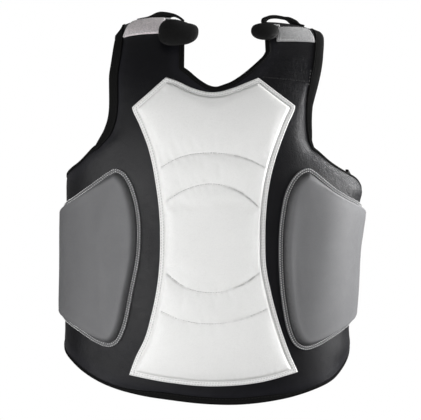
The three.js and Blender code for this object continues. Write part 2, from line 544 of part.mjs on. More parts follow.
// ---------------------------------------------------------------- white pad
function acrossCurve(c) {
  return table(['u', 'up'], [[-1, c.left], [-0.5, c.midLeft], [0, c.center], [0.5, c.midRight], [1, c.right]]);
}
function centerPad() {
  const curves = [...PAD_CURVES.map(acrossCurve), PAD_TOP];
  const rows = [];              // { up(u), kind }
  curves.forEach((curve, c) => {
    if (c === 0) {
      rows.push({ up: (u) => curve(u).up, kind: 'edge' });
      rows.push({ up: (u) => curve(u).up + PAD_FLANGE, kind: 'flange' });
      rows.push({ up: (u) => curve(u).up + PAD_SLOPE, kind: 'shoulder' });
      return;
    }
    const lower = curves[c - 1], last = c === curves.length - 1, first = c === 1;
    const start = (u) => lower(u).up + (first ? PAD_SLOPE : 0), end = (u) => curve(u).up - (last ? PAD_SLOPE * 1.15 : 0);
    for (const f of first || last ? [0.33, 0.66] : [0.25, 0.75]) rows.push({ up: (u) => lerp(start(u), end(u), f), kind: 'crown' });
    if (!last) rows.push({ up: (u) => curve(u).up, kind: 'seam' });
    else {
      rows.push({ up: end, kind: 'shoulder' });
      rows.push({ up: (u) => curve(u).up - PAD_FLANGE * 1.15, kind: 'flange' });
      rows.push({ up: (u) => curve(u).up, kind: 'edge' });
    }
  });
  const inside = [-0.58, -0.3, 0, 0.3, 0.555];
  const grid = rows.map((row) => {
    const place = (u, inset) => {
      const side = u < 0 ? 'left' : 'right';
      let up = row.up(u);
      const w = PAD_WIDTH(Math.min(up, 180))[side];
      return onChest(inset === undefined ? u * w : Math.sign(u) * (w - inset), inset === undefined ? up : row.up(Math.sign(u) * (1 - inset / w)));
    };
    return [place(-1, 0), place(-1, PAD_FLANGE), place(-1, PAD_SLOPE), ...inside.map((u) => place(u)), place(1, PAD_SLOPE), place(1, PAD_FLANGE), place(1, 0)];
  });
  const lastColumn = grid[0].length - 1;
  const height = (i, j) => {
    const kind = rows[i].kind, side = Math.min(j, lastColumn - j);
    if (kind === 'edge' || kind === 'flange' || side < 2) return PAD_FLANGE_THICK;
    if (kind === 'shoulder' || side === 2) return CENTER_PAD_THICK * 0.8 - (kind === 'seam' ? CENTER_PAD_SEAM * 0.6 : 0);
    return CENTER_PAD_THICK - (kind === 'seam' ? CENTER_PAD_SEAM : 0);
  };
  return plate(grid, () => PAD_ROOT, height).without(CLEAR);
}

// ---------------------------------------------------------------- side pads
function sidePad(side) {
  const sign = side === 'left' ? -1 : 1, S = side === 'left' ? 'L' : 'R';
  const around = 3.05;          // millimetres of wall per degree near the ribs, for even borders
  const outline = SIDE_OUTLINE.map((row) => new THREE.Vector2(row[`angle${S}`] * around, row[`z${S}`]));
  const near = (ring, i, k) => ring[(i + k + ring.length) % ring.length];
  const inset = (d) => {
    const ring = outline.map((p, i) => {
      const t = near(outline, i, 1).clone().sub(near(outline, i, -1)).normalize();
      return new THREE.Vector2(p.x - t.y * d, p.y + t.x * d);
    });
    return ring.map((p, i) => near(ring, i, 1).clone().add(near(ring, i, -1)).multiplyScalar(0.25).addScaledVector(p, 0.5));
  };
  const center = new THREE.Vector2(72 * around, -66);
  const towards = (ring, f) => ring.map((p) => p.clone().lerp(center, f));
  const flange = inset(PAD_FLANGE), slope = inset(PAD_SLOPE);
  const rings = [outline, flange, slope, towards(slope, 0.22), towards(slope, 0.45), towards(slope, 0.7)];
  const spot = (p) => onTrunk((sign * p.x) / around, p.y);
  return cushion(rings.map((ring) => ring.map(spot)), spot(center), PAD_ROOT,
    [PAD_FLANGE_THICK, PAD_FLANGE_THICK, SIDE_PAD_THICK * 0.82, SIDE_PAD_THICK * 0.94, SIDE_PAD_THICK, SIDE_PAD_THICK], SIDE_PAD_THICK).without(CLEAR);
}

// ---------------------------------------------------------------- shoulder pieces
function patch(row) {
  const grid = [];
  for (let i = 0; i <= 3; i += 1) {
    const line = [];
    for (let j = 0; j <= 6; j += 1) {
      const f = j / 6, x = lerp(lerp(row.outer, row.outerTop, (i / 3) ** 2), row.inner, f);
      line.push(onChest(x, lerp(lerp(row.outerLow, row.innerLow, f), lerp(row.outerHigh, row.innerHigh, f), i / 3)));
    }
    grid.push(line);
  }
  return plate(grid, () => GAP, () => GAP + PATCH_THICK);
}
function tab(row) {
  const count = 16;
  const ring = (f) => Array.from({ length: count }, (_, i) => {
    const a = (2 * Math.PI * i) / count, x = row.x + row.halfWide * f * Math.cos(a);
    return onChest(x, row.up + row.halfHigh * f * Math.sin(a) - row.slant * Math.sign(row.x) * (row.x - x));
  });
  return cushion([ring(1), ring(0.9), ring(0.68), ring(0.36)], onChest(row.x, row.up), TAB_BASE,
    [TAB_BASE + TAB_THICK * 0.42, TAB_BASE + TAB_THICK * 0.7, TAB_BASE + TAB_THICK * 0.92, TAB_BASE + TAB_THICK], TAB_BASE + TAB_THICK);
}
function loop(row) {
  const path = row.rows;
  // One edge of the webbing: underside and top at each row, a given way back from the front edge.
  const edge = (x, h, back) => path.map((r, i) => {
    const a = path[Math.max(0, i - 1)], b = path[Math.min(path.length - 1, i + 1)];
    const long = Math.hypot(b[x] - a[x], b[h] - a[h]), nx = -(b[h] - a[h]) / long, nh = (b[x] - a[x]) / long;
    const s = onChest(r[x], LOOP_SPAN.from), rise = V(s.n.x, 0, s.n.z).normalize();
    return [0, WEB_THICK].map((d) => V(s.p.x + nx * d, s.p.y + back, s.p.z).addScaledVector(rise, r[h] + nh * d));
  });
  const front = edge('x', 'h', 0), rear = edge('rx', 'rh', LOOP_SPAN.width);
  return capQuad(strip(path.map((_, i) => [front[i][0], rear[i][0], rear[i][1], front[i][1]])));
}
function wingTab() {
  const top = WING_EDGES(WING_TAB.angle).top, s = onTrunk(WING_TAB.angle, top);
  const ahead = onTrunk(WING_TAB.angle - 1, WING_EDGES(WING_TAB.angle - 1).top).p.sub(onTrunk(WING_TAB.angle + 1, WING_EDGES(WING_TAB.angle + 1).top).p).normalize();
  const up = s.n.clone().cross(ahead).normalize();
  if (up.z < 0) up.negate();
  return capQuad(strip(WING_TAB.rows.map((r) => {
    const at = (w, d) => s.p.clone().addScaledVector(up, r.e).addScaledVector(s.n, r.n - d).addScaledVector(ahead, w);
    const w = WING_TAB.width / 2;
    return [at(-w, 0), at(w, 0), at(w, WEB_THICK), at(-w, WEB_THICK)];
  })));
}

// ---------------------------------------------------------------- plain back
function belt() {
  const grid = [0, 0.5, 1].map((f) => Array.from({ length: BELT.steps + 1 }, (_, j) =>
    onTrunk(lerp(BELT.from, 360 - BELT.from, j / BELT.steps), lerp(BELT.bottom, BELT.top, f))));
  return plate(grid, () => GAP + 0.2, () => GAP + 0.2 + BELT.thick);
}
function backStrap(side) {
  const edges = STRAP_EDGES(BACK_STRAP.seatTo), S = side === 'left' ? 'Left' : 'Right';
  const x = (edges[`out${S}`] + edges[`in${S}`]) / 2, w = BACK_STRAP.width / 2;
  const seat = [0, 1, 2, 3, 4].map((i) => lerp(BACK_STRAP.seatFrom, BACK_STRAP.seatTo, i / 4));
  const seatLift = 1.9;          // over the crown of the padded strap
  const path = seat.map((up) => {
    const a = onChest(x - w, up), b = onChest(x + w, up), n = onChest(x, up).n;
    return { y: a.p.y + n.y * seatLift, z: a.p.z + n.z * seatLift, y2: b.p.y + n.y * seatLift, z2: b.p.z + n.z * seatLift, ny: n.y, nz: n.z };
  });
  for (const z of [BACK_STRAP.bendZ, BACK_STRAP.endZ]) {
    const face = [-w, 0, w].map((d) => trunk(180 - angleAt(x + d, z), z).y);
    const y = Math.max(...face) + GAP * 2 + BELT.thick + 1.2;
    path.push({ y, z, y2: y, z2: z, ny: 1, nz: 0 });
  }
  const start = path[4], bend = path[5];
  const between = [0.25, 0.5, 0.75].map((f) => {
    const dy = bend.y - start.y, dz = bend.z - start.z, long = Math.hypot(dy, dz);
    const bulge = 6 * Math.sin(Math.PI * f);
    return { y: lerp(start.y, bend.y, f) + bulge, z: lerp(start.z, bend.z, f), y2: lerp(start.y2, bend.y2, f) + bulge, z2: lerp(start.z2, bend.z2, f), ny: -dz / long, nz: dy / long };
  });
  const way = [...path.slice(0, 5), ...between, ...path.slice(5)];
  return capQuad(strip(way.map((p) => [
    V(x - w, p.y, p.z), V(x + w, p.y2, p.z2),
    V(x + w, p.y2 + p.ny * WEB_THICK, p.z2 + p.nz * WEB_THICK), V(x - w, p.y + p.ny * WEB_THICK, p.z + p.nz * WEB_THICK),
  ])));
}

// ---------------------------------------------------------------- assembly
const vest = new THREE.Group();
vest.name = 'body_protector';
vest.position.z = -SEAT_HEIGHT;
vest.add(shell.mesh('shell', MATERIAL.leather));
vest.add(centerPad().mesh('center_pad', MATERIAL.white));
vest.add(tape(rim.hem, TAPE_LEG).mesh('binding_hem', MATERIAL.tape));
vest.add(tape(rim.neck, NECK_LEG).mesh('binding_neck', MATERIAL.tape));
for (const side of ['left', 'right']) {
  vest.add(sidePad(side).mesh(`side_pad_${side}`, MATERIAL.grey));
  vest.add(tape(rim[side], TAPE_LEG).mesh(`binding_arm_${side}`, MATERIAL.tape));
  vest.add(backStrap(side).mesh(`back_strap_${side}`, MATERIAL.webbing));
}
for (const row of PATCHES) vest.add(patch(row).mesh(row.name, MATERIAL.patch));
for (const row of TABS) vest.add(tab(row).mesh(row.name, MATERIAL.leather));
for (const row of LOOPS) vest.add(loop(row).mesh(row.name, MATERIAL.webbing));
vest.add(wingTab().mesh('wing_tab_right', MATERIAL.webbing));
vest.add(belt().mesh('back_belt', MATERIAL.webbing));

export default vest;
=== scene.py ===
"""Looks of the worn body protector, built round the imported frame. Metres, +Z up, the front faces -Y.

The tables below are the part's own driving tables, in millimetres, measured from the middle of the vest.
"""

import math

import bpy
import numpy as np
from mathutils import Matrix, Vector


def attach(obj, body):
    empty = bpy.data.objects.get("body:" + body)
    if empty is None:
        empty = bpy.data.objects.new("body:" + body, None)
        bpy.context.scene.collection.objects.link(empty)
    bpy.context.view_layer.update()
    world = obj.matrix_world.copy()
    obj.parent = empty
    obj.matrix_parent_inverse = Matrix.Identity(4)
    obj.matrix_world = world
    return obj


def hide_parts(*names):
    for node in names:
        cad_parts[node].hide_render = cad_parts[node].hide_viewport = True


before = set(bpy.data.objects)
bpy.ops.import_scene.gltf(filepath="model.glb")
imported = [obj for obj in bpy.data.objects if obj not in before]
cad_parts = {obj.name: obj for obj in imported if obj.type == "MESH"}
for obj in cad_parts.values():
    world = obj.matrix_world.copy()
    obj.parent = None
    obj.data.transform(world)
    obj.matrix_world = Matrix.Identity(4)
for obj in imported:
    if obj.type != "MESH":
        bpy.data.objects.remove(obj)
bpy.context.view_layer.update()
scene = bpy.context.scene
rng = np.random.default_rng(7)

# ------------------------------------------------------------------ sizes, mm
SEAT = 247.0
SQUARE = 2.4
WALL, STRAP_WALL, EDGE_WALL, EDGE_FLAT, EDGE_TAPER = 20.0, 16.0, 9.0, 8.0, 28.0
TAPE_LEG, NECK_LEG = 8.5, 4.5
WING_END = 122.0
STRAP_END = 385.0
CHEST_LEVEL = 96.0
WEB = 2.2


# ------------------------------------------------------------------ tables
class Curve:
    """Smooth curve through the rows of a table; the first column is the key."""

    def __init__(self, names, rows):
        a = np.array(rows, float)
        k = a[:, 0]
        m = np.zeros_like(a)
        m[0] = (a[1] - a[0]) / (k[1] - k[0])
        m[-1] = (a[-1] - a[-2]) / (k[-1] - k[-2])
        b, f = (k[1:-1] - k[:-2])[:, None], (k[2:] - k[1:-1])[:, None]
        m[1:-1] = ((a[1:-1] - a[:-2]) / b * f + (a[2:] - a[1:-1]) / f * b) / (b + f)
        self.names, self.a, self.k, self.m = names, a, k, m

    def __call__(self, q):
        q = np.asarray(q, float)
        i = np.searchsorted(self.k[1:-1], q, side="left")
        span = self.k[i + 1] - self.k[i]
        s = np.clip((q - self.k[i]) / span, -0.4, 1.4)[..., None]
        h = span[..., None]
        v = ((2 * s**3 - 3 * s**2 + 1) * self.a[i] + (s**3 - 2 * s**2 + s) * h * self.m[i]
             + (3 * s**2 - 2 * s**3) * self.a[i + 1] + (s**3 - s**2) * h * self.m[i + 1])
        return {n: v[..., c] for c, n in enumerate(self.names)}


LEVELS = Curve(["up", "z", "shift", "half", "front", "back", "drop", "lift", "roll"], [
    [-262, -262, -7.5, 190.8, 123, 112, 0, 0, 0],
    [-200, -200, -8, 194.8, 131, 116, 0, 0, 0],
    [-150, -150, -7, 196.8, 136, 118, 0, 0, 0],
    [-80, -80, -3, 198.8, 137, 119, 0, 0, 0],
    [0, 0, 0.5, 202.8, 134.5, 119, 0, 0, 0],
    [60, 60, 1.5, 203.8, 135.5, 118, 0, 0, 0],
    [110, 110, 2, 202.8, 132, 115, 0, 0, 0],
    [150, 150, 2, 201.8, 123.5, 110, 0, 0, 0],
    [175, 175, 2, 200.8, 114.5, 105, 0, 0, 0],
    [190, 189, 2, 200.8, 107, 100, 0, 0, 0],
    [205, 203, 2, 200.8, 98, 100, 1.12, 0.5, 0],
    [220, 216, 2, 200.8, 86.5, 100, 2.81, 1.5, 0],
    [235, 228.5, 2, 200.8, 73.5, 100, 5.06, 2.5, 1],
    [250, 240.5, 2, 200.8, 58.5, 100, 7.88, 3.5, 3],
    [265, 250.5, 2, 200.8, 41.5, 100, 10.12, 4.5, 5],
    [280, 258.5, 2, 200.8, 23, 100, 12.38, 4.5, 7],
    [295, 263, 2, 200.8, 4, 100, 13.5, 4.5, 8],
    [310, 263.5, 2, 200.8, -15, 100, 13.5, 4.5, 8],
    [325, 260, 2, 200.8, -33, 100, 12.38, 4.5, 8],
    [340, 252, 2, 200.8, -49.5, 100, 10.12, 4, 6],
    [355, 240.5, 2, 200.8, -62.5, 100, 7.88, 3, 4],
    [370, 226.5, 2, 200.8, -72, 100, 4.5, 2, 2],
    [385, 211.5, 2, 200.8, -78.5, 100, 2.25, 1, 0],
])
STRAP_EDGES = Curve(["up", "outLeft", "outRight", "inLeft", "inRight"], [
    [80, -157, 132, -40, 73], [92, -149.5, 127.6, -40, 73], [102, -142.6, 127.5, -40, 73],
    [113, -137.3, 127.7, -40, 73], [124, -134.6, 128, -40, 73], [135, -133.6, 128.7, -40, 73],
    [150, -133.7, 132.5, -40, 73], [164, -134.2, 136.5, -40, 73], [180, -134.5, 140.4, -40, 73],
    [198, -132.6, 144, -40, 73], [217, -130.9, 146.4, -40, 73], [240, -129.5, 148.7, -40, 73],
    [262, -129.5, 150, -40, 73], [285, -129.5, 148.5, -39, 71.5], [305, -128.5, 146, -38.5, 71.5],
    [340, -125, 141, -45, 81], [385, -119, 134, -56, 84],
])
WING_EDGES = Curve(["angle", "hem", "top"], [
    [-122, -158, 28], [-105, -168, 36], [-90, -178, 44], [-80, -190, 48.5], [-71, -200.5, 56.5],
    [-65, -209.8, 64], [-57.5, -220.4, 79], [-47, -231.5, 90], [-36, -238.4, 90], [-21, -243.7, 90],
    [0, -248.8, 90], [21, -249.5, 90], [37, -245.4, 90], [49.3, -239.1, 80], [57, -232.8, 61.8],
    [66, -223.3, 49], [73, -211.5, 42.8], [80, -200.5, 35.5], [90, -185, 26.5], [105, -174, 22.5], [122, -162, 18],
])
NECKLINE = Curve(["x", "up"], [
    [-40, 187], [-32, 180.6], [-24, 172.6], [-16, 166.2], [-6, 160.2], [4.5, 157.9], [15, 161], [25, 165],
    [36, 172.2], [47, 181.6], [57, 191.6], [64, 199], [69.5, 206], [73, 214],
])
PAD_WIDTH = Curve(["up", "left", "right"], [
    [-230, 113, 117], [-212, 107.5, 111], [-189, 98.9, 101], [-168, 88.5, 93], [-137, 79.3, 83], [-106, 72.7, 75],
    [-75, 68.8, 69], [-39, 67.6, 67.6], [-3, 68.8, 68.8], [38, 74, 74], [59, 77.8, 79], [80, 83.1, 85.7],
    [111, 95.1, 97.6], [132, 104.3, 106.6], [150, 104.3, 106.6], [180, 104.3, 106.6],
])
PAD_LOWER = [-214, -223, -227.5, -223.5, -211]
PAD_CHANNELS = [
    [-124, -140, -145, -137.5, -122],
    [-72, -98, -105.5, -96, -73],
    [3, 25.5, 33.5, 22.5, -6],
    [48, 67.5, 72.5, 66, 48.5],
]
PAD_PEAKS = (-0.58, 0.555)
PAD_TOP_MIDDLE = Curve(["u", "up"], [
    [-0.58, 172.3], [-0.45, 167.3], [-0.25, 157.5], [0, 151.9], [0.28, 158.9], [0.43, 165.7], [0.555, 171.5],
])
SIDE_OUTLINE = {
    "left": [[47.4, 54.1], [43.4, 48], [40.3, 33], [37.8, 9.2], [36, -24], [35.7, -62], [37.4, -99.8], [39.4, -139],
             [41.6, -160], [44.4, -173], [48.6, -178.6], [54.4, -174.6], [63, -162], [72, -153], [82, -147], [93, -140],
             [102, -132], [106, -118], [107, -68], [106, -20], [102, -7], [92, 1], [80, 9], [69, 18.5], [61.4, 30],
             [55.5, 41], [51.2, 49.5]],
    "right": [[46, 54.5], [42, 49.5], [38.4, 36], [35.8, 15], [34.1, -24], [34.2, -66], [35.8, -106], [39, -146],
              [42.2, -168], [45.4, -178.4], [49.6, -182.6], [54.8, -178.9], [62.7, -168.3], [71.5, -159], [82, -151],
              [93, -143], [102, -134], [106, -120], [107, -68], [106, -20], [102, -6], [92, 2], [80, 8.5], [67.5, 17.5],
              [59.4, 28], [52.5, 42.5], [49, 50.5]],
}
PATCHES = {
    "left": dict(outer=-122.2, outerTop=-110.0, inner=-65, outerLow=241.5, outerHigh=289, innerLow=242, innerHigh=287),
    "right": dict(outer=138, outerTop=132, inner=85.5, outerLow=236.5, outerHigh=277, innerLow=231, innerHigh=262.5),
}
TABS = {
    "left": dict(x=-45.7, up=238.3, wide=26.6, high=24.4, slant=-0.09),
    "right": dict(x=69.8, up=242, wide=18.8, high=15.8, slant=0.02),
}
# Webbing loops: way across and height above the strap, of the front edge and of the rear edge.
LOOPS = {
    "left": [[-105, 1, -105, 1], [-98, 1.1, -98, 1.1], [-91, 1.5, -91, 1.2], [-84.5, 3.4, -84.5, 1.5], [-79, 6.2, -79, 2.8],
             [-73, 7.8, -73, 4.4], [-66, 7.2, -66, 5.2], [-60, 6.4, -60, 5.9], [-54, 5.9, -54, 6.6], [-49, 5, -49, 6.2], [-43.5, 3.6, -43.5, 4.8]],
    "right": [[72.4, 0.7, 75.6, 0.7], [72.2, 2.0, 75.4, 2.0], [73.6, 4.4, 76.8, 4.3], [78, 6.9, 80, 6.8], [85.5, 8.2, 86.5, 8.2], [96, 7.6, 96, 8], [104, 6.4, 103.5, 6.9],
              [109, 5.3, 107.5, 4], [114, 3.8, 112, 1.9], [118.5, 2, 117, 1.2], [122, 1.1, 121.5, 1.1], [128, 1, 128, 1]],
}
LOOP_FROM, LOOP_WIDTH = 301.5, 15.0
WING_TAB = dict(angle=78, width=27, rows=[[13.8, -13.6], [5, -14], [-9, -15.4], [-20, -20], [-30, -25.5]])
BELT = dict(start=110, top=-30, bottom=-140, thick=3.0)
BACK_STRAP = dict(width=32, seat=(335, 380), bend=-22, end=-96)
ARMPIT = {"left": (-57.5, 84.0), "right": (49.3, 80.0)}


# ------------------------------------------------------------------ the vest's outer face
def lerp(a, b, f):
    return a + (b - a) * f


def smooth(f):
    s = np.clip(f, 0, 1)
    return s * s * (3 - 2 * s)


def unit(v):
    return v / np.maximum(np.linalg.norm(v, axis=-1, keepdims=True), 1e-12)


def chest(x, up):
    x, up = np.broadcast_arrays(np.asarray(x, float), np.asarray(up, float))
    L = LEVELS(up)
    depth = np.maximum(1e-6, 1 - np.abs((x - L["shift"]) / L["half"]) ** SQUARE) ** (1 / SQUARE)
    left = x < 0
    out = np.where(left, np.clip((-x - 40) / 92, 0, 1.3), np.clip((x - 70) / 78, 0, 1.3))
    fall = np.where(left, 1.2 * out**4 + 0.45 * out**12, out**2.2)
    neckward = np.where(left, np.clip((x + 66) / 26, 0, 1.2), 0)
    z = L["z"] - L["drop"] * fall - L["lift"] * np.where(left, 1, 0.25) * np.tanh(x / 40) - L["roll"] * neckward**2
    return np.stack([x, -L["front"] * depth, z], -1)


def trunk(angle, z):
    angle, z = np.broadcast_arrays(np.asarray(angle, float), np.asarray(z, float))
    L = LEVELS(z)
    s, c = np.sin(np.radians(angle)), np.cos(np.radians(angle))
    r = (np.abs(s / L["half"]) ** SQUARE + np.abs(c / np.where(c > 0, L["front"], L["back"])) ** SQUARE) ** (-1 / SQUARE)
    return np.stack([L["shift"] + r * s, -r * c, z], -1)


def with_normal(face, a, b, da, db):
    n = np.cross(face(a + da, b) - face(a - da, b), face(a, b + db) - face(a, b - db))
    return face(a, b), unit(n)


def on_chest(x, up):
    return with_normal(chest, np.asarray(x, float), np.asarray(up, float), 0.5, 0.5)


def on_trunk(angle, z):
    return with_normal(trunk, np.asarray(angle, float), np.asarray(z, float), 0.2, 0.5)


def angle_at(x, z):
    lo, hi = np.full(np.shape(x), -90.0), np.full(np.shape(x), 90.0)
    for _ in range(40):
        mid = (lo + hi) / 2
        less = trunk(mid, z)[..., 0] < x
        lo, hi = np.where(less, mid, lo), np.where(less, hi, mid)
    return (lo + hi) / 2


def finer(values, k):
    return np.interp(np.arange((len(values) - 1) * k + 1) / k, np.arange(len(values)), values)


def near_line(points, line, closed=False):
    """Distance of each point from a polyline, and how far along it the closest place is."""
    a = np.asarray(line, float)
    b = np.roll(a, -1, 0) if closed else a[1:]
    a = a if closed else a[:-1]
    d = b - a
    long = np.maximum(np.linalg.norm(d, axis=1), 1e-9)
    start = np.concatenate([[0], np.cumsum(long)[:-1]])
    flat = points.reshape(-1, points.shape[-1])
    best, where = np.empty(len(flat)), np.empty(len(flat))
    for i in range(0, len(flat), 4000):
        p = flat[i:i + 4000, None, :] - a[None]
        t = np.clip((p * d).sum(-1) / long**2, 0, 1)
        q = np.linalg.norm(p - t[..., None] * d, axis=-1)
        j = q.argmin(1)
        r = np.arange(len(j))
        best[i:i + 4000], where[i:i + 4000] = q[r, j], start[j] + t[r, j] * long[j]
    return best.reshape(points.shape[:-1]), where.reshape(points.shape[:-1])


def ripples(s, seed, wave):
    """Uneven little gathers along a seam."""
    g = np.random.default_rng(seed)
    out = np.zeros_like(s)
    for k in range(7):
        out += g.uniform(0.5, 1) * np.sin(2 * math.pi * s / (wave * g.uniform(0.7, 2.2)) + g.uniform(0, 6.28))
    return out / 3.0


# ------------------------------------------------------------------ meshes
def to_scene(p):
    q = np.array(p, float) * 0.001
    q[..., 2] -= SEAT * 0.001
    return q


def make(name, points, faces, materials, index=None, attributes=None, raw=False):
    """A mesh piece from points in mm (or metres if raw) and faces; attributes are per point."""
    mesh = bpy.data.meshes.new(name)
    p = np.asarray(points, float) if raw else to_scene(points)
    mesh.from_pydata(p.reshape(-1, 3).tolist(), [], [list(map(int, f)) for f in faces])
    mesh.update()
    mesh.polygons.foreach_set("use_smooth", np.ones(len(mesh.polygons), bool))
    for m in materials:
        mesh.materials.append(m)
    if index is not None:
        mesh.polygons.foreach_set("material_index", np.asarray(index, np.int32))
    for key, value in (attributes or {}).items():
        value = np.asarray(value, np.float32)
        kind = "FLOAT" if value.ndim == 1 else "FLOAT_VECTOR"
        layer = mesh.attributes.new(key, kind, "POINT")
        layer.data.foreach_set("value" if kind == "FLOAT" else "vector", value.ravel())
    obj = bpy.data.objects.new(name, mesh)
    scene.collection.objects.link(obj)
    return obj


def grid_faces(rows, cols, first=0, wrap=False, flip=False):
    i, j = np.meshgrid(np.arange(rows - 1), np.arange(cols if wrap else cols - 1), indexing="ij")
    k = (j + 1) % cols
    a, b, c, d = i * cols + j, i * cols + k, (i + 1) * cols + k, (i + 1) * cols + j
    quads = np.stack([a, b, c, d], -1).reshape(-1, 4) + first
    return quads[:, ::-1] if flip else quads


def closed_plate(top, bottom):
    """Points and faces of a closed slab between two grids of places."""
    rows, cols = top.shape[:2]
    n = rows * cols
    faces = [grid_faces(rows, cols), grid_faces(rows, cols, n, flip=True)]
    ring = ([(0, j) for j in range(cols)] + [(i, cols - 1) for i in range(1, rows)]
            + [(rows - 1, j) for j in range(cols - 2, -1, -1)] + [(i, 0) for i in range(rows - 2, 0, -1)])
    ring = np.array([i * cols + j for i, j in ring])
    after = np.roll(ring, -1)
    faces.append(np.stack([ring + n, after + n, after, ring], -1))
    return np.concatenate([top.reshape(-1, 3), bottom.reshape(-1, 3)]), np.concatenate(faces)


def swept(sections, closed_ends=True):
    """Points and faces of a tube through sections (n, k, 3)."""
    n, k = sections.shape[:2]
    faces = [list(f) for f in grid_faces(n, k, wrap=True)]
    if closed_ends:
        faces.append(list(range(k))[::-1])
        faces.append([(n - 1) * k + j for j in range(k)])
    return sections.reshape(-1, 3), faces


def outward(obj):
    """Turns the faces outward."""
    import bmesh
    b = bmesh.new()
    b.from_mesh(obj.data)
    bmesh.ops.recalc_face_normals(b, faces=b.faces)
    b.to_mesh(obj.data)
    b.free()
    return obj


def resample(line, step):
    line = np.asarray(line, float)
    long = np.concatenate([[0], np.cumsum(np.linalg.norm(np.diff(line[:, :3], axis=0), axis=1))])
    n = max(2, int(round(long[-1] / step)) + 1)
    at = np.linspace(0, long[-1], n)
    return np.stack([np.interp(at, long, line[:, c]) for c in range(line.shape[1])], -1)


def stitch_row(places, normals, length, pitch, radius, sink=0.0, slant=0.0):
    """Points and faces of a row of sewn stitches along a line of places."""
    line = resample(np.concatenate([places, normals], 1), pitch)
    p, n = line[:, :3], unit(line[:, 3:])
    t = unit(np.gradient(p, axis=0))
    side = unit(np.cross(n, t))
    if slant:
        t = unit(t + side * slant)
        side = unit(np.cross(n, t))
    ts = np.array([-0.5, -0.3, 0.0, 0.3, 0.5])
    rad = np.array([0.35, 0.9, 1.0, 0.9, 0.35])
    lift = np.array([-0.7, 0.2, 0.5, 0.2, -0.7])
    ang = np.arange(6) / 6 * 2 * math.pi
    pts = (p[:, None, None] + t[:, None, None] * (ts * length)[None, :, None, None]
           + n[:, None, None] * ((lift * radius - sink)[None, :, None] + (np.sin(ang)[None] * rad[:, None] * radius)[None])[..., None]
           + side[:, None, None] * (np.cos(ang)[None] * rad[:, None] * radius)[None, ..., None])
    one = [list(f) for f in grid_faces(5, 6, wrap=True)] + [list(range(6))[::-1], [24 + j for j in range(6)]]
    faces = [[v + 30 * i for v in f] for i in range(len(p)) for f in one]
    return pts.reshape(-1, 3), faces


def sewn(name, rows, mat):
    """One piece holding several rows of stitches."""
    pts, faces, first = [], [], 0
    for p, f in rows:
        pts.append(p)
        faces += [[v + first for v in q] for q in f]
        first += len(p)
    obj = outward(make(name, np.concatenate(pts), faces, [mat]))
    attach(obj, "root")
    return obj


# ------------------------------------------------------------------ materials
def new_material(name):
    m = bpy.data.materials.new(name)
    m.use_nodes = True
    nt = m.node_tree
    nt.nodes.clear()
    out = nt.nodes.new("ShaderNodeOutputMaterial")
    bsdf = nt.nodes.new("ShaderNodeBsdfPrincipled")
    nt.links.new(bsdf.outputs[0], out.inputs[0])
    return m, nt, bsdf


def node(nt, kind, inputs=None, **props):
    n = nt.nodes.new(kind)
    for k, v in props.items():
        setattr(n, k, v)
    for k, v in (inputs or {}).items():
        if isinstance(v, bpy.types.NodeSocket):
            nt.links.new(v, n.inputs[k])
        else:
            n.inputs[k].default_value = v
    return n


def math_node(nt, op, a, b=0.0, clamp=False):
    n = node(nt, "ShaderNodeMath", {0: a, 1: b}, operation=op)
    n.use_clamp = clamp
    return n.outputs[0]


def mix_color(nt, fac, a, b, blend="MIX"):
    n = node(nt, "ShaderNodeMix", data_type="RGBA", blend_type=blend)
    for k, v in ((0, fac), (6, a), (7, b)):
        if isinstance(v, bpy.types.NodeSocket):
            nt.links.new(v, n.inputs[k])
        else:
            n.inputs[k].default_value = v
    return n.outputs[2]


def grey(v, tint=(1.0, 1.0, 1.0)):
    return (v * tint[0], v * tint[1], v * tint[2], 1.0)


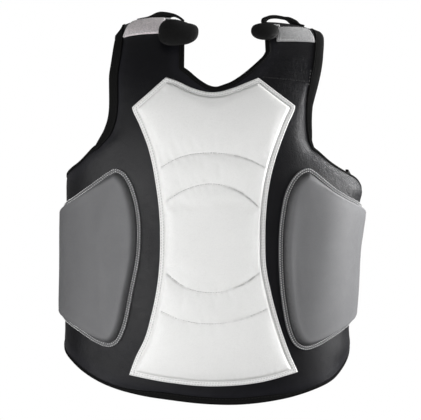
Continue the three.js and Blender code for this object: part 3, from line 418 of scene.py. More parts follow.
def leather(name, dark, light, rough, spec=0.5, cell=640.0, depth=0.00022, wear=None, tint=(1, 1, 1), painted_shade=None, crease=0.8, low=None):
    """Fine-grained coated leather: pebbled grain, creases, faint mottling, scuffed edges, and painted shade where the
    mesh carries a shade mask.
    """
    m, nt, bsdf = new_material(name)
    where = node(nt, "ShaderNodeTexCoord").outputs["Object"]
    blotch = node(nt, "ShaderNodeTexNoise", {"Vector": where, "Scale": 24.0, "Detail": 5.0, "Roughness": 0.6}).outputs["Fac"]
    cells = node(nt, "ShaderNodeTexVoronoi", {"Vector": where, "Scale": cell}, feature="DISTANCE_TO_EDGE").outputs["Distance"]
    pores = node(nt, "ShaderNodeTexNoise", {"Vector": where, "Scale": cell * 2.6, "Detail": 3.0}).outputs["Fac"]
    creases = node(nt, "ShaderNodeTexNoise", {"Vector": where, "Scale": 130.0, "Detail": 4.0, "Distortion": 0.6}).outputs["Fac"]
    pebble = node(nt, "ShaderNodeMapRange", {"Value": cells, "From Min": 0.0, "From Max": 0.22}).outputs[0]
    height = math_node(nt, "ADD", math_node(nt, "MULTIPLY", pebble, 0.6), math_node(nt, "MULTIPLY", pores, 0.35))
    folds = node(nt, "ShaderNodeTexNoise", {"Vector": where, "Scale": 330.0, "Detail": 3.0, "Roughness": 0.65}).outputs["Fac"]
    height = math_node(nt, "ADD", height, math_node(nt, "MULTIPLY", creases, crease))
    height = math_node(nt, "ADD", height, math_node(nt, "MULTIPLY", folds, crease))
    bump = node(nt, "ShaderNodeBump", {"Strength": 0.6, "Distance": depth, "Height": height})
    nt.links.new(bump.outputs[0], bsdf.inputs["Normal"])
    mottled = node(nt, "ShaderNodeMapRange", {"Value": blotch, "From Min": 0.3, "From Max": 0.7}).outputs[0]
    colour = mix_color(nt, mottled, grey(dark, tint), grey(light, tint))
    colour = mix_color(nt, math_node(nt, "MULTIPLY", math_node(nt, "SUBTRACT", 1.0, pebble), 0.25), colour, grey(dark * 0.7, tint))
    if wear is not None:
        worn = node(nt, "ShaderNodeAttribute", attribute_name="wear").outputs["Fac"]
        rubbed = math_node(nt, "MULTIPLY", worn, math_node(nt, "ADD", math_node(nt, "MULTIPLY", blotch, 0.9), 0.25), clamp=True)
        colour = mix_color(nt, rubbed, colour, grey(wear, tint))
    # Painted shade: the base colour is pulled towards a darker shade colour by a per-point mask laid in sewn grooves
    # and padded folds.
    if painted_shade is not None:
        shade_amount = node(nt, "ShaderNodeAttribute", attribute_name="painted_shade").outputs["Fac"]
        shade_amount = math_node(nt, "MULTIPLY", shade_amount, math_node(nt, "ADD", math_node(nt, "MULTIPLY", folds, 0.8), 0.6), clamp=True)
        colour = mix_color(nt, shade_amount, colour, grey(painted_shade, tint))
    nt.links.new(colour, bsdf.inputs["Base Color"])
    shine = node(nt, "ShaderNodeMapRange", {"Value": creases, "From Min": 0.25, "From Max": 0.75, "To Min": rough - 0.07, "To Max": rough + 0.07}).outputs[0]
    nt.links.new(shine, bsdf.inputs["Roughness"])
    bsdf.inputs["Specular IOR Level"].default_value = spec
    if low is not None:
        # Rubbed duller towards the hem.
        split = node(nt, "ShaderNodeSeparateXYZ", {0: where})
        height_at = split.outputs[2]
        # The grain opens up where the cover is bent most: beside the right armhole.
        bent = math_node(nt, "ADD", split.outputs[0], math_node(nt, "MULTIPLY", height_at, 0.5))
        nt.links.new(node(nt, "ShaderNodeMapRange", {"Value": bent, "From Min": -0.03, "From Max": 0.03, "To Min": 0.26, "To Max": 0.6}).outputs[0], bump.inputs["Strength"])
        nt.links.new(node(nt, "ShaderNodeMapRange", {"Value": height_at, "From Min": -0.44, "From Max": -0.17, "To Min": low, "To Max": spec}).outputs[0], bsdf.inputs["Specular IOR Level"])
    return m


def woven(name, dark, light, rough, along=0.0024, across=0.0016, depth=0.00035, spec=0.3, sheen=0.15):
    """Woven tape or webbing: ribs along and across, by the piece's own lay."""
    m, nt, bsdf = new_material(name)
    lay = node(nt, "ShaderNodeAttribute", attribute_name="lay").outputs["Vector"]
    where = node(nt, "ShaderNodeTexCoord").outputs["Object"]
    part = node(nt, "ShaderNodeSeparateXYZ", {0: lay})
    u = math_node(nt, "SINE", math_node(nt, "MULTIPLY", part.outputs[0], 2 * math.pi / along))
    v = math_node(nt, "SINE", math_node(nt, "MULTIPLY", part.outputs[1], 2 * math.pi / across))
    weave = math_node(nt, "ADD", math_node(nt, "MULTIPLY", math_node(nt, "MULTIPLY", u, v), 0.5), 0.5)
    ribs = math_node(nt, "ADD", math_node(nt, "MULTIPLY", v, 0.25), 0.5)
    fluff = node(nt, "ShaderNodeTexNoise", {"Vector": where, "Scale": 1700.0, "Detail": 3.0}).outputs["Fac"]
    blotch = node(nt, "ShaderNodeTexNoise", {"Vector": where, "Scale": 45.0, "Detail": 4.0}).outputs["Fac"]
    height = math_node(nt, "ADD", math_node(nt, "ADD", math_node(nt, "MULTIPLY", weave, 0.6), math_node(nt, "MULTIPLY", ribs, 0.4)), math_node(nt, "MULTIPLY", fluff, 0.4))
    bump = node(nt, "ShaderNodeBump", {"Strength": 0.8, "Distance": depth, "Height": height}).outputs[0]
    nt.links.new(bump, bsdf.inputs["Normal"])
    shade = math_node(nt, "MULTIPLY", math_node(nt, "ADD", math_node(nt, "MULTIPLY", weave, 0.7), math_node(nt, "MULTIPLY", blotch, 0.6)), 0.85, clamp=True)
    nt.links.new(mix_color(nt, shade, grey(dark), grey(light)), bsdf.inputs["Base Color"])
    gloss = node(nt, "ShaderNodeMapRange", {"Value": blotch, "From Min": 0.3, "From Max": 0.7, "To Min": rough - 0.06, "To Max": rough + 0.06}).outputs[0]
    nt.links.new(gloss, bsdf.inputs["Roughness"])
    bsdf.inputs["Specular IOR Level"].default_value = spec
    bsdf.inputs["Sheen Weight"].default_value = sheen
    return m


def pile(name, dark, light, scale=1500.0, depth=0.0006, tint=(1.035, 0.98, 1.0)):
    """Looped pile of a hook-and-loop strip."""
    m, nt, bsdf = new_material(name)
    where = node(nt, "ShaderNodeTexCoord").outputs["Object"]
    tufts = node(nt, "ShaderNodeTexVoronoi", {"Vector": where, "Scale": scale * 0.5}, feature="SMOOTH_F1").outputs["Distance"]
    fuzz = node(nt, "ShaderNodeTexNoise", {"Vector": where, "Scale": scale, "Detail": 5.0, "Roughness": 0.75, "Distortion": 1.2}).outputs["Fac"]
    brushed = node(nt, "ShaderNodeTexNoise", {"Vector": where, "Scale": 70.0, "Detail": 3.0}).outputs["Fac"]
    height = math_node(nt, "ADD", math_node(nt, "MULTIPLY", fuzz, 0.9), math_node(nt, "MULTIPLY", tufts, 0.5))
    nt.links.new(node(nt, "ShaderNodeBump", {"Strength": 0.9, "Distance": depth, "Height": height}).outputs[0], bsdf.inputs["Normal"])
    worn = node(nt, "ShaderNodeTexNoise", {"Vector": where, "Scale": 520.0, "Detail": 2.0, "Roughness": 0.6}).outputs["Fac"]
    mixed = math_node(nt, "ADD", math_node(nt, "MULTIPLY", fuzz, 0.45), math_node(nt, "MULTIPLY", brushed, 0.35))
    mixed = math_node(nt, "ADD", mixed, math_node(nt, "MULTIPLY", math_node(nt, "SUBTRACT", worn, 0.43), 2.2), clamp=True)
    nt.links.new(mix_color(nt, mixed, grey(dark, tint), grey(light, tint)), bsdf.inputs["Base Color"])
    bsdf.inputs["Roughness"].default_value = 0.95
    bsdf.inputs["Specular IOR Level"].default_value = 0.15
    bsdf.inputs["Sheen Weight"].default_value = 0.25
    return m


def thread(name, dark, light):
    """Twisted sewing thread."""
    m, nt, bsdf = new_material(name)
    where = node(nt, "ShaderNodeTexCoord").outputs["Object"]
    twist = node(nt, "ShaderNodeTexNoise", {"Vector": where, "Scale": 2600.0, "Detail": 2.0}).outputs["Fac"]
    nt.links.new(node(nt, "ShaderNodeBump", {"Strength": 0.5, "Distance": 0.0002, "Height": twist}).outputs[0], bsdf.inputs["Normal"])
    nt.links.new(mix_color(nt, twist, grey(dark), grey(light)), bsdf.inputs["Base Color"])
    bsdf.inputs["Roughness"].default_value = 0.6
    bsdf.inputs["Sheen Weight"].default_value = 0.2 if light > 0.1 else 0.0
    bsdf.inputs["Specular IOR Level"].default_value = 0.5 if light > 0.1 else 0.12
    return m


def lining_cloth(name, dark, light):
    """Plain close-woven lining cloth."""
    m, nt, bsdf = new_material(name)
    where = node(nt, "ShaderNodeTexCoord").outputs["Object"]
    warp = node(nt, "ShaderNodeTexWave", {"Vector": where, "Scale": 260.0, "Distortion": 0.4}, wave_type="BANDS", bands_direction="DIAGONAL").outputs["Fac"]
    weft = node(nt, "ShaderNodeTexWave", {"Vector": where, "Scale": 260.0, "Distortion": 0.4}, wave_type="BANDS", bands_direction="Z").outputs["Fac"]
    fuzz = node(nt, "ShaderNodeTexNoise", {"Vector": where, "Scale": 300.0, "Detail": 4.0}).outputs["Fac"]
    weave = math_node(nt, "MULTIPLY", warp, weft)
    nt.links.new(node(nt, "ShaderNodeBump", {"Strength": 0.5, "Distance": 0.0003, "Height": weave}).outputs[0], bsdf.inputs["Normal"])
    nt.links.new(mix_color(nt, math_node(nt, "ADD", math_node(nt, "MULTIPLY", weave, 0.5), math_node(nt, "MULTIPLY", fuzz, 0.5)), grey(dark), grey(light)), bsdf.inputs["Base Color"])
    bsdf.inputs["Roughness"].default_value = 0.85
    bsdf.inputs["Sheen Weight"].default_value = 0.2
    return m


BLACK = leather("black_leather", 0.0048, 0.0068, 0.42, spec=0.242, depth=0.0004, wear=0.03, crease=1.7, tint=(0.98, 0.98, 1.24), low=0.15)
WHITE = leather("white_leather", 0.80, 0.83, 0.55, spec=0.35, cell=700.0, depth=0.00012, wear=0.72, painted_shade=0.42, tint=(1.003, 1.003, 0.991))
GREY = leather("grey_leather", 0.126, 0.142, 0.55, spec=0.24, cell=760.0, depth=0.00015, wear=0.20, tint=(1.0, 1.003, 1.035), painted_shade=0.035)
TABMAT = leather("tab_cover", 0.008, 0.0125, 0.66, spec=0.12, cell=900.0, depth=0.0002)
TAPE = woven("edge_tape", 0.004, 0.008, 0.8, along=0.0013, across=0.0010, depth=0.0002, spec=0.06, sheen=0.0)
WEBBING = woven("webbing", 0.005, 0.011, 0.72, spec=0.12, sheen=0.03)
# One pile material in a lit and a shaded copy: the left strip is painted lighter and the right strip darker, evening
# out the stronger light that falls on the right.
PATCH_PAINTED_LIGHT = {"left": pile("loop_patch_left_painted_lighter", 0.50, 0.94, tint=(1.05, 0.972, 0.993)), "right": pile("loop_patch_right_painted_darker", 0.23, 0.47, tint=(1.0, 1.0, 1.01))}
LINING = lining_cloth("lining", 0.010, 0.018)
THREAD_WHITE = thread("thread_white", 0.36, 0.50)
THREAD_GREY = thread("thread_grey", 0.50, 0.72)
THREAD_DARK = thread("thread_dark", 0.005, 0.010)
THREAD_STRAP = thread("thread_strap", 0.03, 0.05)
THREAD_LIGHT = thread("thread_light", 0.45, 0.62)
THREAD_SEAM = thread("thread_seam", 0.16, 0.26)

# ------------------------------------------------------------------ camera
cam = bpy.data.objects.new("camera", bpy.data.cameras.new("camera"))
scene.collection.objects.link(cam)
cam.data.sensor_width = 36.0
cam.data.lens = 1217.7 * 36.0 / 421.0
cam.location = (-0.00279, -1.7, -SEAT * 0.001)
cam.rotation_euler = (math.radians(90), 0, 0)
cam.data.clip_end = 50
scene.camera = cam

# ------------------------------------------------------------------ shell
K = 3
BODY_ROWS = finer([0, 0.03, 0.1, 0.2, 0.3, 0.4, 0.5, 0.6, 0.7, 0.8, 0.9, 0.97, 1], K)
CHEST_ROWS = finer([0, 0.09, 0.2, 0.36, 0.55, 0.75, 0.91, 1], K)
STRAP_ROWS = finer([0, 0.1, 0.19, 0.28, 0.37, 0.46, 0.55, 0.64, 0.73, 0.82, 0.91, 1], K)
WING_COLUMNS = finer([0, 0.14, 0.28, 0.42, 0.56, 0.7, 0.82, 0.92, 1], 2 * K)
STRAP_COLUMNS = {"left": finer([0, 0.1, 0.3, 0.5, 0.7, 0.9, 1], K + 1), "right": finer([0, 0.15, 0.38, 0.62, 0.85, 1], K + 1)}
MIDDLE = np.linspace(-40, 73, 6 * (K + 1) + 1)


def hem_at(x):
    return WING_EDGES(angle_at(x, np.full(np.shape(x), -230.0)))["hem"]


blocks = {}
for side, S in (("left", "Left"), ("right", "Right")):
    arm_angle, arm_up = ARMPIT[side]
    sign = -1 if side == "left" else 1
    inner = -40.0 if side == "left" else 73.0
    w = WING_COLUMNS[None, :]
    ang = lerp(sign * WING_END, arm_angle, w)
    edge = WING_EDGES(ang)
    top = edge["top"] + (arm_up - WING_EDGES(np.array(arm_angle))["top"]) * smooth((w - 0.82) / 0.18)
    f = BODY_ROWS[:, None]
    blocks[side, "wing"] = on_trunk(ang + 0 * f, lerp(edge["hem"], top, f))
    w = STRAP_COLUMNS[side][None, :]
    line = trunk(np.full(f.shape, arm_angle), lerp(WING_EDGES(np.array(arm_angle))["hem"], arm_up, f))[..., 0]
    x = lerp(line, inner, w)
    meet = (WING_EDGES(np.array(arm_angle))["hem"] - hem_at(line)) * (1 - smooth(w / 0.6))
    blocks[side, "body"] = on_chest(x, lerp(hem_at(x) + meet, lerp(arm_up, CHEST_LEVEL, w), f))
    neck_up = NECKLINE(np.array(inner))["up"]
    f = CHEST_ROWS[:, None]
    out_up, in_up = lerp(arm_up, neck_up, f), lerp(CHEST_LEVEL, neck_up, f)
    start = STRAP_EDGES(out_up)["out" + S]
    start = start + (line[-1] - start[0]) * (1 - smooth(f / 0.35))
    blocks[side, "chest"] = on_chest(lerp(start, inner, w), lerp(out_up, in_up, w))
    f = STRAP_ROWS[:, None]
    up = lerp(neck_up, STRAP_END, f)
    E = STRAP_EDGES(up)
    x_in = np.where(f == 0, inner, E["in" + S])
    blocks[side, "strap"] = on_chest(lerp(E["out" + S], x_in, w), up + 0 * w)
x = MIDDLE[None, :]
f = BODY_ROWS[:, None]
blocks["middle", "body"] = on_chest(x + 0 * f, lerp(hem_at(x), CHEST_LEVEL, f))
f = CHEST_ROWS[:, None]
neck = NECKLINE(x)["up"]
blocks["middle", "chest"] = on_chest(x + 0 * f, lerp(CHEST_LEVEL, neck, f))


def cat(*parts):
    return [np.concatenate([p[i] for p in parts]) for i in range(3)]


def edge_of(key, where, inside):
    """Places, normals and the places just inside, along one edge of a block."""
    P, N = blocks[key]
    return [P[where], N[where], P[inside]]


rows, row1, last, last1 = np.s_[0], np.s_[1], np.s_[-1], np.s_[-2]
col, col1, colz, colz1 = np.s_[:, 0], np.s_[:, 1], np.s_[:, -1], np.s_[:, -2]


def back_to_front(e):
    return [a[::-1] for a in e]


def tail(e):
    return [a[1:] for a in e]


RIM = {
    "hem": cat(edge_of(("left", "wing"), rows, row1), tail(edge_of(("left", "body"), rows, row1)),
               tail(edge_of(("middle", "body"), rows, row1)), tail(back_to_front(edge_of(("right", "body"), rows, row1))),
               tail(back_to_front(edge_of(("right", "wing"), rows, row1)))),
    "neck": cat(back_to_front(edge_of(("left", "strap"), colz, colz1)), tail(edge_of(("middle", "chest"), last, last1)),
                tail(edge_of(("right", "strap"), colz, colz1))),
}
for side in ("left", "right"):
    RIM[side] = cat(edge_of((side, "wing"), last, last1), tail(edge_of((side, "chest"), col, col1)), tail(edge_of((side, "strap"), col, col1)))
    RIM["rear_" + side] = edge_of((side, "wing"), col, col1)
    RIM["end_" + side] = edge_of((side, "strap"), last, last1)
LINES = {k: v[0] for k, v in RIM.items()}


def wall_of(P):
    d = np.min([near_line(P, line)[0] for line in LINES.values()], axis=0)
    full = lerp(WALL, STRAP_WALL, smooth((P[..., 2] - 150) / 70))
    return lerp(EDGE_WALL, full, smooth((d - EDGE_FLAT) / EDGE_TAPER))


def right_leg(up):
    """Visible width of the right arm tape at a height."""
    return np.interp(up, [66, 74, 84, 92, 106, 120, 131, 147, 169], [0.9, 1.2, 1.9, 3.0, 5.2, 6.4, 6.4, 8.8, 11.2])


def sink_way(P, N):
    """The way the cover is pulled at an edge: straight back on the chest, so the outline stays, and inwards on the wings."""
    high = smooth((P[..., 2] - 62) / 45)[..., None]
    return unit(lerp(N, unit(N * [0.12, 1, 1]), high))


def sunk(P):
    """How far the cover is pulled down towards a bound edge. Beside the right armhole it turns away along a ridge."""
    up = P[..., 2]
    hem = near_line(P, LINES["hem"])[0]
    left, right = near_line(P, LINES["left"])[0], near_line(P, LINES["right"])[0]
    high = smooth((up - 62) / 45)
    down = lerp(1.6, 0.3, smooth((np.abs(P[..., 0]) - 105) / 50)) * (1 - smooth(hem / 16)) ** 1.3
    crown = smooth((up - 185) / 45)
    down = down + lerp(lerp(0.8, 4.4, high), 0.4, crown) * (1 - smooth(left / lerp(12, 34, high))) ** 1.3
    wide = np.interp(up, [60, 79, 92, 105, 121, 134, 151, 168, 180], [15, 14.5, 14, 14, 10, 7, 3.4, 1.6, 0.0])
    soft = np.interp(up, [60, 105, 121, 134, 151, 168], [9, 7, 4.0, 2.2, 1.2, 0.6])
    past = right_leg(up) + wide - right
    past = 0.5 * (past + np.sqrt(past ** 2 + soft ** 2))
    past = past - 0.5 * (past - wide + np.sqrt((past - wide) ** 2 + 1.0))
    down = down + np.clip(np.interp(up, [132, 150], [0.46, 0.66]) * past, 0, 6.0) * smooth((up - 60) / 32) * smooth((60 - right) / 20)
    # The left shoulder is plump over its outer corner.
    plump = 2.2 * smooth((up - 236) / 16) * np.exp(-(((left - 11.5) / 8.5) ** 2)) * (P[..., 0] < 0)
    # The right wing bellies out over the rib, above its pad.
    belly = 3.0 * np.exp(-(((up - 25) / 9) ** 2)) * smooth((P[..., 0] - 172) / 22) * (1 - smooth((P[..., 1] - 30) / 30))
    # Both lower corners of the wings are full and round.
    belly = belly + np.where(P[..., 0] > 0, 2.8, 1.8) * np.exp(-(((up + 186) / 15) ** 2)) * smooth((np.abs(P[..., 0]) - 150) / 35) * (1 - smooth((P[..., 1] - 30) / 30))
    return down + 0.8 * (1 - high) * (1 - smooth(right / 12)) ** 1.3 - plump - belly


all_p, all_n, quads, first = [], [], [], 0
for key, (P, N) in blocks.items():
    all_p.append(P.reshape(-1, 3))
    all_n.append(N.reshape(-1, 3))
    quads.append(grid_faces(P.shape[0], P.shape[1], first, flip=key[0] == "right"))
    first += P.shape[0] * P.shape[1]
all_p, all_n, quads = np.concatenate(all_p), np.concatenate(all_n), np.concatenate(quads)
_, pick, back = np.unique(np.round(all_p / 0.05).astype(np.int64), axis=0, return_index=True, return_inverse=True)
back = back.ravel()
shell_p, shell_n, shell_q = all_p[pick], all_n[pick], back[quads]
shell_q = shell_q[[len(set(q)) == 4 for q in shell_q.tolist()]]
shell_sink, shell_wall = sunk(shell_p), wall_of(shell_p)
seam_line = chest(np.linspace(62, 129, 30), np.linspace(176, 170.5, 30))
seam_d = near_line(shell_p, seam_line)[0]
ripple = 0.35 * np.sin(shell_p[:, 0] / 17 + 1.3 * np.sin(shell_p[:, 2] / 41)) * np.sin(shell_p[:, 2] / 33 + 0.7 * np.sin(shell_p[:, 0] / 29))
gather = np.zeros(len(shell_p))
for k, key in enumerate(("left", "right", "hem")):
    d, s_at = near_line(shell_p, LINES[key])
    gather += 0.22 * ripples(s_at, 70 + k, 12.0) * np.exp(-(((d - 15) / 6.5) ** 2))
seam_cut = 2.6 * np.exp(-((seam_d / 1.5) ** 2)) - 1.1 * np.exp(-(((seam_d - 4.5) / 2.6) ** 2))
outer = shell_p + shell_n * (ripple * smooth((shell_wall - 10) / 8) + gather - seam_cut)[:, None] - sink_way(shell_p, shell_n) * shell_sink[:, None]
inner = shell_p - shell_n * shell_wall[:, None]
n = len(shell_p)
edges = {}
for q in shell_q.tolist():
    for a, b in zip(q, q[1:] + q[:1]):
        if (b, a) in edges:
            del edges[b, a]
        else:
            edges[a, b] = True
follow = dict(edges.keys())
rim_ids = np.array(sorted({v for e in edges for v in e}))
inside_sum, inside_count = np.zeros((n, 3)), np.zeros(n)
for q in shell_q.tolist():
    middle = shell_p[q].mean(0)
    for v in q:
        inside_sum[v] += middle
        inside_count[v] += 1
away = unit(shell_p - inside_sum / inside_count[:, None])
away = unit(away - shell_n * (away * shell_n).sum(1, keepdims=True))
STEPS = 4
arc_p, arc_at = [], {}
for k in range(1, STEPS):
    th = math.pi * k / STEPS
    c = (outer[rim_ids] + inner[rim_ids]) / 2
    half = (outer[rim_ids] - inner[rim_ids]) / 2
    arc_p.append(c + half * math.cos(th) + away[rim_ids] * 1.5 * math.sin(th))
place = {v: i for i, v in enumerate(rim_ids)}
levels = lambda v, k: v if k == 0 else (n + v if k == STEPS else 2 * n + (k - 1) * len(rim_ids) + place[v])
faces = shell_q.tolist() + (shell_q[:, ::-1] + n).tolist()
slots = [0] * len(shell_q) + [1] * len(shell_q)
for a, b in edges:
    for k in range(STEPS):
        faces.append([levels(b, k), levels(a, k), levels(a, k + 1), levels(b, k + 1)])
        slots.append(0)
rim_d = np.min([near_line(shell_p, line)[0] for line in LINES.values()], axis=0)
wear = 0.3 * np.exp(-((rim_d - 9) / 7) ** 2)
wear = np.concatenate([wear, 0 * wear, np.zeros(len(rim_ids) * (STEPS - 1))])
shell = make("shell_cover", np.concatenate([outer, inner] + arc_p), faces, [BLACK, LINING], slots, {"wear": wear})
outward(shell)
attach(shell, "root")
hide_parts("shell")
# Thread on the right strap: along the seam, and beside the tape above it.
P, N = on_chest(np.linspace(66, 126, 30), np.linspace(175.6, 170.8, 30) - 3.0)
rows = [stitch_row(P - sink_way(P, N) * sunk(P)[:, None] + N * 0.95, N, 2.4, 3.6, 0.4)]
sewn("strap_seam_stitches", rows, THREAD_STRAP)
P, N = on_chest(np.linspace(129.2, 126.4, 12), np.linspace(184, 165, 12))
rows = [stitch_row(P - sink_way(P, N) * sunk(P)[:, None] + N * 0.5, N, 2.0, 4.6, 0.5)]
sewn("strap_edge_stitches", rows, THREAD_SEAM)


# ------------------------------------------------------------------ edge tape
def tape(name, key, leg, taper=None, reach=2.6, proud=1.0):
    P, N, I = RIM[key]
    keep = np.concatenate([[True], np.linalg.norm(np.diff(P, axis=0), axis=1) > 0.05])
    P, N, I = P[keep], N[keep], I[keep]
    data = resample(np.concatenate([P, N, I], 1), 3.0)
    P, N, I = data[:, :3], unit(data[:, 3:6]), data[:, 6:]
    for _ in range(3):
        N[1:-1] = unit(0.25 * N[:-2] + 0.5 * N[1:-1] + 0.25 * N[2:])
    t = unit(np.gradient(P, axis=0))
    e = np.cross(N, t)
    e *= np.sign((e * (I - P)).sum(1, keepdims=True))
    e = unit(e)
    for _ in range(2):
        e[1:-1] = unit(0.25 * e[:-2] + 0.5 * e[1:-1] + 0.25 * e[2:])
    legs = np.full(len(P), float(leg)) if taper is None else taper(P, leg)
    reach = np.broadcast_to(reach(P[:, 2]) if callable(reach) else reach, len(P))[:, None]
    proud = np.broadcast_to(proud(P[:, 2]) if callable(proud) else proud, len(P))[:, None]
    po = P - sink_way(P, N) * sunk(P)[:, None]
    pi = P - N * EDGE_WALL
    c, hw = (po + pi) / 2, np.linalg.norm(po - pi, axis=1) / 2

    def over(d, h):
        """On the cover, d in from the edge, h above it: follows the cover's slope."""
        q = P + e * d[:, None]
        return q - sink_way(q, N) * sunk(q)[:, None] + N * h

    def under(d, h):
        return pi + e * d[:, None] - N * h

    one = np.ones(len(P))
    thin = proud * lerp(0.45, 1.0, smooth(legs / 4))[:, None]
    edge_in = np.minimum(0.9, legs * 0.3)
    sec = [over(legs, 0.1), over(legs - edge_in * 0.3, 0.95 * thin), over(legs - edge_in, 1.4 * thin), over(legs * 0.6, 1.55 * thin), over(legs * 0.3, 1.5 * thin)]
    for th in np.linspace(0, math.pi, 9):
        sec.append(c + N * ((hw[:, None] + lerp(1.5, 1.5 * thin, max(0.0, math.cos(th)))) * math.cos(th)) - e * (0.2 + 1.7 * math.sin(th) + reach * (0.5 + 0.5 * math.cos(th))))
    full = one * leg
    sec += [under(full * 0.3, 1.5), under(full * 0.6, 1.5), under(full - 0.9, 1.4), under(full - 0.2, 0.9), under(full, 0.1),
            under(one * 0.4, 0.08), over(one * 0.4, 0.06)]
    sec = np.stack(sec, 1)
    pts, faces = swept(sec)
    along = np.concatenate([[0], np.cumsum(np.linalg.norm(np.diff(P, axis=0), axis=1))])
    across = np.concatenate([np.zeros((len(P), 1)), np.cumsum(np.linalg.norm(np.diff(sec, axis=1), axis=2), 1)], 1)
    lay = np.stack([np.repeat(along[:, None], sec.shape[1], 1), across, 0 * across], -1).reshape(-1, 3) * 0.001
    obj = outward(make(name + "_tape", pts, faces, [TAPE], None, {"lay": lay}))
    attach(obj, "root")
    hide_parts(name)
    row = over(legs - 1.7, 1.45 * thin)[legs > 3.2]
    sewn(name + "_stitches", [stitch_row(row, N[legs > 3.2], 3.0, 4.2, 0.42)], THREAD_DARK)
    return obj


tape("binding_hem", "hem", TAPE_LEG, lambda P, leg: lerp(0.9, 6.6, smooth((135 - np.abs(P[:, 0])) / 75)), reach=1.9)
tape("binding_neck", "neck", NECK_LEG, reach=1.2, proud=0.4)
tape("binding_arm_left", "left", TAPE_LEG, lambda P, leg: lerp(0.9, leg + 2.0, smooth((P[:, 2] - 66) / 42)),
     reach=lambda z: np.interp(z, [40, 60, 75, 90, 110, 232, 247], [2.6, 2.0, 1.2, 1.8, 2.8, 2.6, 5.8]), proud=lambda z: np.interp(z, [228, 244], [1.0, 0.4]))
tape("binding_arm_right", "right", TAPE_LEG, lambda P, leg: right_leg(P[:, 2]),
     reach=lambda z: np.interp(z, [66, 82, 96, 115, 180, 205, 235, 250], [0.5, 1.6, 2.6, 2.0, 1.6, 1.1, 1.0, 0.2]), proud=lambda z: np.interp(z, [222, 244], [1.0, 0.45]))


# ------------------------------------------------------------------ padding
def swell(name, points, quads, pin, pressure, cap, slack=0.0, frames=20):
    """Blow up a cover, sewn down where pin is 1, by cloth simulation. Points in mm; returns how far each one moved, in mm."""
    points = np.asarray(points, float).reshape(-1, 3)
    skin = make(name, points, quads, [])
    group = skin.vertex_groups.new(name="sewn")
    for i in np.nonzero(pin > 0.01)[0]:
        group.add([int(i)], float(pin[i]), "REPLACE")
    cloth = skin.modifiers.new("cloth", "CLOTH")
    st = cloth.settings
    st.quality, st.mass, st.air_damping = 5, 0.25, 2.0
    st.tension_stiffness = st.compression_stiffness = 20.0
    st.shear_stiffness, st.bending_stiffness = 8.0, 0.6
    st.tension_damping = st.compression_damping = 10.0
    st.shear_damping, st.bending_damping = 8.0, 1.0
    st.vertex_group_mass = "sewn"
    st.pin_stiffness = 1.0
    st.use_pressure, st.uniform_pressure_force = True, pressure
    st.shrink_min = -slack
    st.effector_weights.gravity = 0.0
    cloth.point_cache.frame_start, cloth.point_cache.frame_end = 1, frames
    for f in range(1, frames + 1):
        scene.frame_set(f)
    done = skin.evaluated_get(bpy.context.evaluated_depsgraph_get())
    got = np.empty(3 * len(points), np.float32)
    done.data.vertices.foreach_get("co", got)
    moved = got.reshape(-1, 3) * 1000.0 - to_scene(points).reshape(-1, 3) * 1000.0
    far = np.linalg.norm(moved, axis=1, keepdims=True)
    mesh = skin.data
    bpy.data.objects.remove(skin)
    bpy.data.meshes.remove(mesh)
    scene.frame_set(1)
    print(f"{name}: moved {far.mean():.2f} mm on average, {far.max():.2f} at most, {(moved[:, 1] < 0).mean():.2f} of it forwards")
    return moved * (cap * np.tanh(far / cap) / np.maximum(far, 1e-6))


def spread(values, rows, cols, all_rows, all_cols):
    """Values on some rows and columns of a grid, carried to all of them."""
    mid = np.stack([np.interp(np.arange(all_cols), cols, v) for v in values])
    out = np.stack([np.interp(np.arange(all_rows), rows, v) for v in mid.T], 1)
    for _ in range(5):
        out[1:-1] = 0.5 * out[1:-1] + 0.25 * (out[:-2] + out[2:])
        out[:, 1:-1] = 0.5 * out[:, 1:-1] + 0.25 * (out[:, :-2] + out[:, 2:])
    return out


def every(n, step):
    """Indices with that step, both ends included."""
    return np.unique(np.concatenate([np.arange(0, n, step), [n - 1]]))


# ------------------------------------------------------------------ white pad
def five(values):
    return Curve(["u", "up"], list(zip([-1, -0.5, 0, 0.5, 1], values)))


def pad_top(u):
    """Upper edge of the white pad: straight from each corner up to a pointed peak, hollow between the peaks."""
    lo, hi = PAD_PEAKS
    left = 133 + (172.3 - 133) * (u + 1) / (lo + 1)
    right = 171.5 + (135 - 171.5) * (u - hi) / (1 - hi)
    return np.where(u < lo, left, np.where(u > hi, right, PAD_TOP_MIDDLE(np.clip(u, lo, hi))["up"]))


def pad_place(u, up):
    W = PAD_WIDTH(np.minimum(up, 180))
    return np.stack([np.where(u < 0, u * W["left"], u * W["right"]), up], -1)


cols = np.concatenate([[-1], -1 + np.array([0.4, 1, 2, 3.2, 4.6, 6]) / 90, np.linspace(-0.925, 0.925, 132), 1 - np.array([6, 4.6, 3.2, 2, 1, 0.4]) / 90, [1]])
vees = np.concatenate([[0], np.array([0.4, 1, 2, 3.2, 4.6]) / 390, np.linspace(6 / 390, 1 - 6 / 390, 236), 1 - np.array([4.6, 3.2, 2, 1, 0.4]) / 390, [1]])
for peak in PAD_PEAKS:
    cols[np.abs(cols - peak).argmin()] = peak
U, Vv = np.meshgrid(cols, vees)
lower_at = five(PAD_LOWER)(U)["up"]
upper_at = pad_top(U)
flat = pad_place(U, lerp(lower_at, upper_at, Vv))
uu = np.unique(np.concatenate([np.linspace(-1, 1, 161), PAD_PEAKS]))
vv = np.linspace(0, 1, 201)[1:-1]
rim_low = pad_place(uu, five(PAD_LOWER)(uu)["up"])
rim_top = pad_place(uu, pad_top(uu))
rim_right = pad_place(np.ones(len(vv)), lerp(PAD_LOWER[-1], 135.0, vv))
rim_left = pad_place(-np.ones(len(vv)), lerp(PAD_LOWER[0], 133.0, vv))
pad_outline = np.concatenate([rim_low, rim_right, rim_top[::-1], rim_left[::-1]])
d_edge, s_edge = near_line(flat, pad_outline, closed=True)
FL = 7.0


